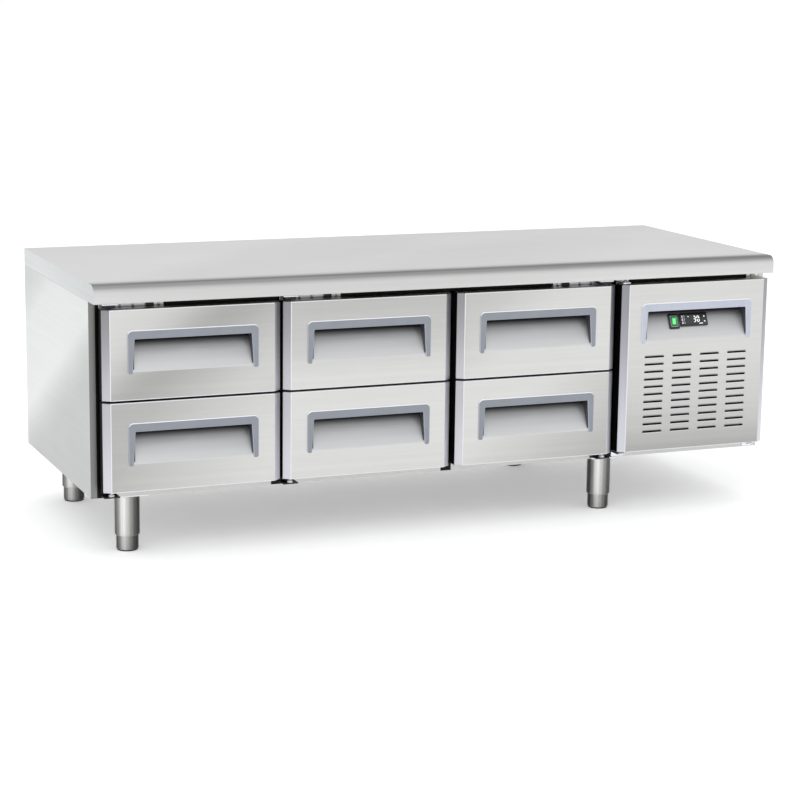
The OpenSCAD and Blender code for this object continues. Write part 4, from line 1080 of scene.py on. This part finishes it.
for xa in (cx_l + 2, cx_m + 2, cx_r + FRONT_W - 40):
    box_into(blk, xa, xa + 38, YBODY - 2, YBODY - 0.02, ZB + 2, ZB + 17)
    box_into(blk, xa, xa + 38, YBODY - 36, YBODY - 1, ZB + 6, ZB + 9)
    lathe_into(bush, [(7.0, 8.9), (7.0, 12.6), (6.2, 13.6), (3.6, 13.8)], (xa + 19, YBODY - 28, ZB), "z", 28)
    lathe_into(scr, [(3.45, 13.0), (3.45, 16.6), (2.6, 17.7), (0.4, 18.0)], (xa + 19, YBODY - 28, ZB), "z", 24)
px0 = mp_lo.x / MM
zq, zp = mp_hi.z / MM, mp_lo.z / MM
pin = (px0 + 11, YF + 15.7)
box_into(zinc, px0 + 1, px0 + 36, YBODY - 2, YBODY - 0.02, ZT - 20, ZT - 1)
box_into(zinc, px0 + 1, px0 + 22, YBODY - 40, YBODY - 1, zq + 3, zq + 6)
box_into(zinc, px0 + 1, px0 + 36, YBODY - 2, YBODY - 0.02, ZB + 2, zp - 2)
box_into(zinc, px0 + 1, px0 + 22, YBODY - 40, YBODY - 1, zp - 6, zp - 3)
lathe_into(scr, [(0.3, -14.0), (2.2, -14.0), (2.95, -12.6), (2.95, 3.0), (2.95, 3.9), (5.0, 4.0), (5.0, 5.4), (3.6, 6.6), (0.4, 7.0)], (pin[0], pin[1], zq + 2.4), "z", 28)
lathe_into(scr, [(0.4, -4.6), (3.6, -4.4), (5.0, -3.4), (5.0, -2.2), (2.95, -2.1), (2.95, 14.0), (2.2, 15.0), (0.3, 15.0)], (pin[0], pin[1], zp - 4.0), "z", 28)
screw(px0 + 27, YBODY - 2, ZT - 9)
screw(px0 + 27, YBODY - 2, ZB + 9, 3.0)
pr0 = mp_hi.x / MM
box_into(zinc, pr0 - 44, pr0 - 10, YBODY - 2, YBODY - 0.02, ZT - 20, ZT - 1)
lathe_into(bush, [(6.5, 0.0), (6.5, -2.2), (5.6, -3.2), (0.5, -3.4)], (pr0 - 26, YBODY - 2, ZT - 11), "y", 28)
box_into(zinc, pr0 - 36, pr0 - 10, YBODY - 2, YBODY - 0.02, ZB + 2, zp - 2)
box_into(zinc, pr0 - 30, pr0 - 16, YBODY - 24, YBODY - 1, ZB + 10, ZB + 13)
for b_ in (zinc, blk, scr, bush):
    fix_normals(b_)
obj("hinge_plates", zinc, [M["zinc"]], "cabinet", ["hinge_brackets"], smooth=30, bevel=0.5)
obj("hinge_blocks", blk, [M["black"]], "cabinet", smooth=30, bevel=0.6)
obj("hinge_screws_and_pins", scr, [M["screw"], M["black"]], "cabinet", smooth=30)
obj("hinge_bushes", bush, [M["bush"]], "cabinet", smooth=30)

# ------------------------------------------------------------------ the CAD nodes that stay
def finish_node(node, mats, width=0.4, seg=2, angle=30):
    o = NODES[node]
    if not isinstance(mats, (list, tuple)):
        mats = [mats]
    if len(o.material_slots) == 0:
        o.data.materials.append(mats[0])
    for i, sl_ in enumerate(o.material_slots):
        sl_.material = mats[min(i, len(mats) - 1)]
    w = o.modifiers.new("weld", "WELD")
    w.merge_threshold = 0.00002
    if width:
        b = o.modifiers.new("edge", "BEVEL")
        b.width = width * MM
        b.segments = seg
        b.limit_method = "ANGLE"
        b.angle_limit = math.radians(angle)
        b.use_clamp_overlap = True
        b.harden_normals = False
    w = o.modifiers.new("shade", "WEIGHTED_NORMAL")
    w.keep_sharp = False
    w.weight = 90


finish_node("cabinet_casing", M["side"], 0.35)
finish_node("front_frame", M["frame"], 0.3)
finish_node("machine_side_panel", M["side"], 0.3)
finish_node("rear_grille", M["side"], 0.3)
finish_node("insulation_foam", M["foam"], 0)
finish_node("inner_liner", M["liner"], 0.3)
finish_node("slide_racks", M["slide"], 0.25)
finish_node("evaporator_coil", M["fins"], 0)
finish_node("evaporator_fan_duct", M["liner"], 0.3)
finish_node("evaporator_fan_blade", M["fan_black"], 0.3)
finish_node("compressor", M["compressor"], 0.5)
finish_node("condenser_coil", M["fins"], 0)
finish_node("condenser_fan_blade", M["fan_alu"], 0.3)
finish_node("refrigerant_lines", M["copper"], 0)
finish_node("condensate_tray", M["tray"], 0.4)
finish_node("power_cord", M["cord"], 0)
for r in ROWS:
    for c in COLS:
        finish_node("drawer_frame_%s_%s" % (r, c), M["drawer"], 0.3)
        finish_node("middle_slides_%s_%s" % (r, c), M["slide"], 0.3)

# ------------------------------------------------------------------ floor, light and camera
def floor_material():
    m = Mat("pale_floor")
    n = m.noise((3.0, 3.0, 3.0), 3.0, 0.5)
    f = m.noise((180.0, 180.0, 180.0), 3.0, 0.5)
    col = m.mix("MULTIPLY", 1.0, (0.93, 0.93, 0.925, 1), m.ramp(n, [(0.3, 0.985), (0.7, 1.0)]))
    return m.set(color=col, rough=m.spread(f, 0.75, 0.85), spec=0.15, emit=(1, 1, 1, 1), emit_k=0.22)


bm = bmesh.new()
for i in range(1):
    box_into(bm, -22000, 22000, -16000, 26000, -20, 0)
me = bpy.data.meshes.new("floor")
fix_normals(bm)
bm.to_mesh(me)
bm.free()
me.materials.append(floor_material())
floor = bpy.data.objects.new("floor", me)
scene.collection.objects.link(floor)

world = bpy.data.worlds.new("studio")
scene.world = world
world.use_nodes = True
wt = world.node_tree
wt.nodes.clear()
wo = wt.nodes.new("ShaderNodeOutputWorld")
bg = wt.nodes.new("ShaderNodeBackground")
tc = wt.nodes.new("ShaderNodeTexCoord")
sp = wt.nodes.new("ShaderNodeSeparateXYZ")
rp = wt.nodes.new("ShaderNodeValToRGB")
mr = wt.nodes.new("ShaderNodeMapRange")
wt.links.new(tc.outputs["Generated"], sp.inputs[0])
wt.links.new(sp.outputs["Z"], mr.inputs["Value"])
mr.inputs["From Min"].default_value = -1.0
mr.inputs["From Max"].default_value = 1.0
wt.links.new(mr.outputs[0], rp.inputs[0])
e = rp.color_ramp.elements
e[0].position, e[0].color = 0.5, (0.95, 0.95, 0.95, 1)
e[1].position, e[1].color = 1.0, (0.86, 0.87, 0.88, 1)
wt.links.new(rp.outputs[0], bg.inputs["Color"])
bg.inputs["Strength"].default_value = 1.08
wt.links.new(bg.outputs[0], wo.inputs[0])


def area(name, loc, target, size, power, color=(1, 1, 1)):
    d = bpy.data.lights.new(name, "AREA")
    d.shape = "RECTANGLE"
    d.size, d.size_y = size
    d.energy = power
    d.color = color
    o = bpy.data.objects.new(name, d)
    scene.collection.objects.link(o)
    o.location = loc
    o.rotation_euler = (Vector(target) - Vector(loc)).to_track_quat("-Z", "Y").to_euler()
    return o


area("soft_key", (-2.6, -3.4, 3.6), (0.1, -0.2, 0.4), (3.2, 2.4), 42.0)
area("soft_top", (0.3, 0.4, 4.2), (0.1, 0.0, 0.5), (3.6, 2.6), 26.0)
area("soft_right", (4.2, -1.8, 1.8), (0.4, 0.0, 0.4), (2.2, 2.2), 14.0)

# camera: position and turn fitted to the corners of the cabinet
cd = bpy.data.cameras.new("camera")
cd.sensor_width = 36.0
cd.lens = 2205.73188 / 800.0 * 36.0
cd.clip_start, cd.clip_end = 0.05, 200.0
cam = bpy.data.objects.new("camera", cd)
scene.collection.objects.link(cam)
rz, rx, ry = 0.39101, 0.19644, 0.01281
fwd = Vector((math.sin(rz) * math.cos(rx), math.cos(rz) * math.cos(rx), -math.sin(rx)))
right0 = Vector((math.cos(rz), -math.sin(rz), 0.0))
up0 = right0.cross(fwd)
right = right0 * math.cos(ry) + up0 * math.sin(ry)
up = up0 * math.cos(ry) - right0 * math.sin(ry)
cam.matrix_world = Matrix(((right.x, up.x, -fwd.x, -2.14217), (right.y, up.y, -fwd.y, -5.20687), (right.z, up.z, -fwd.z, 1.38285), (0, 0, 0, 1)))
scene.camera = cam
scene.view_settings.view_transform = "Standard"
scene.view_settings.look = "None"
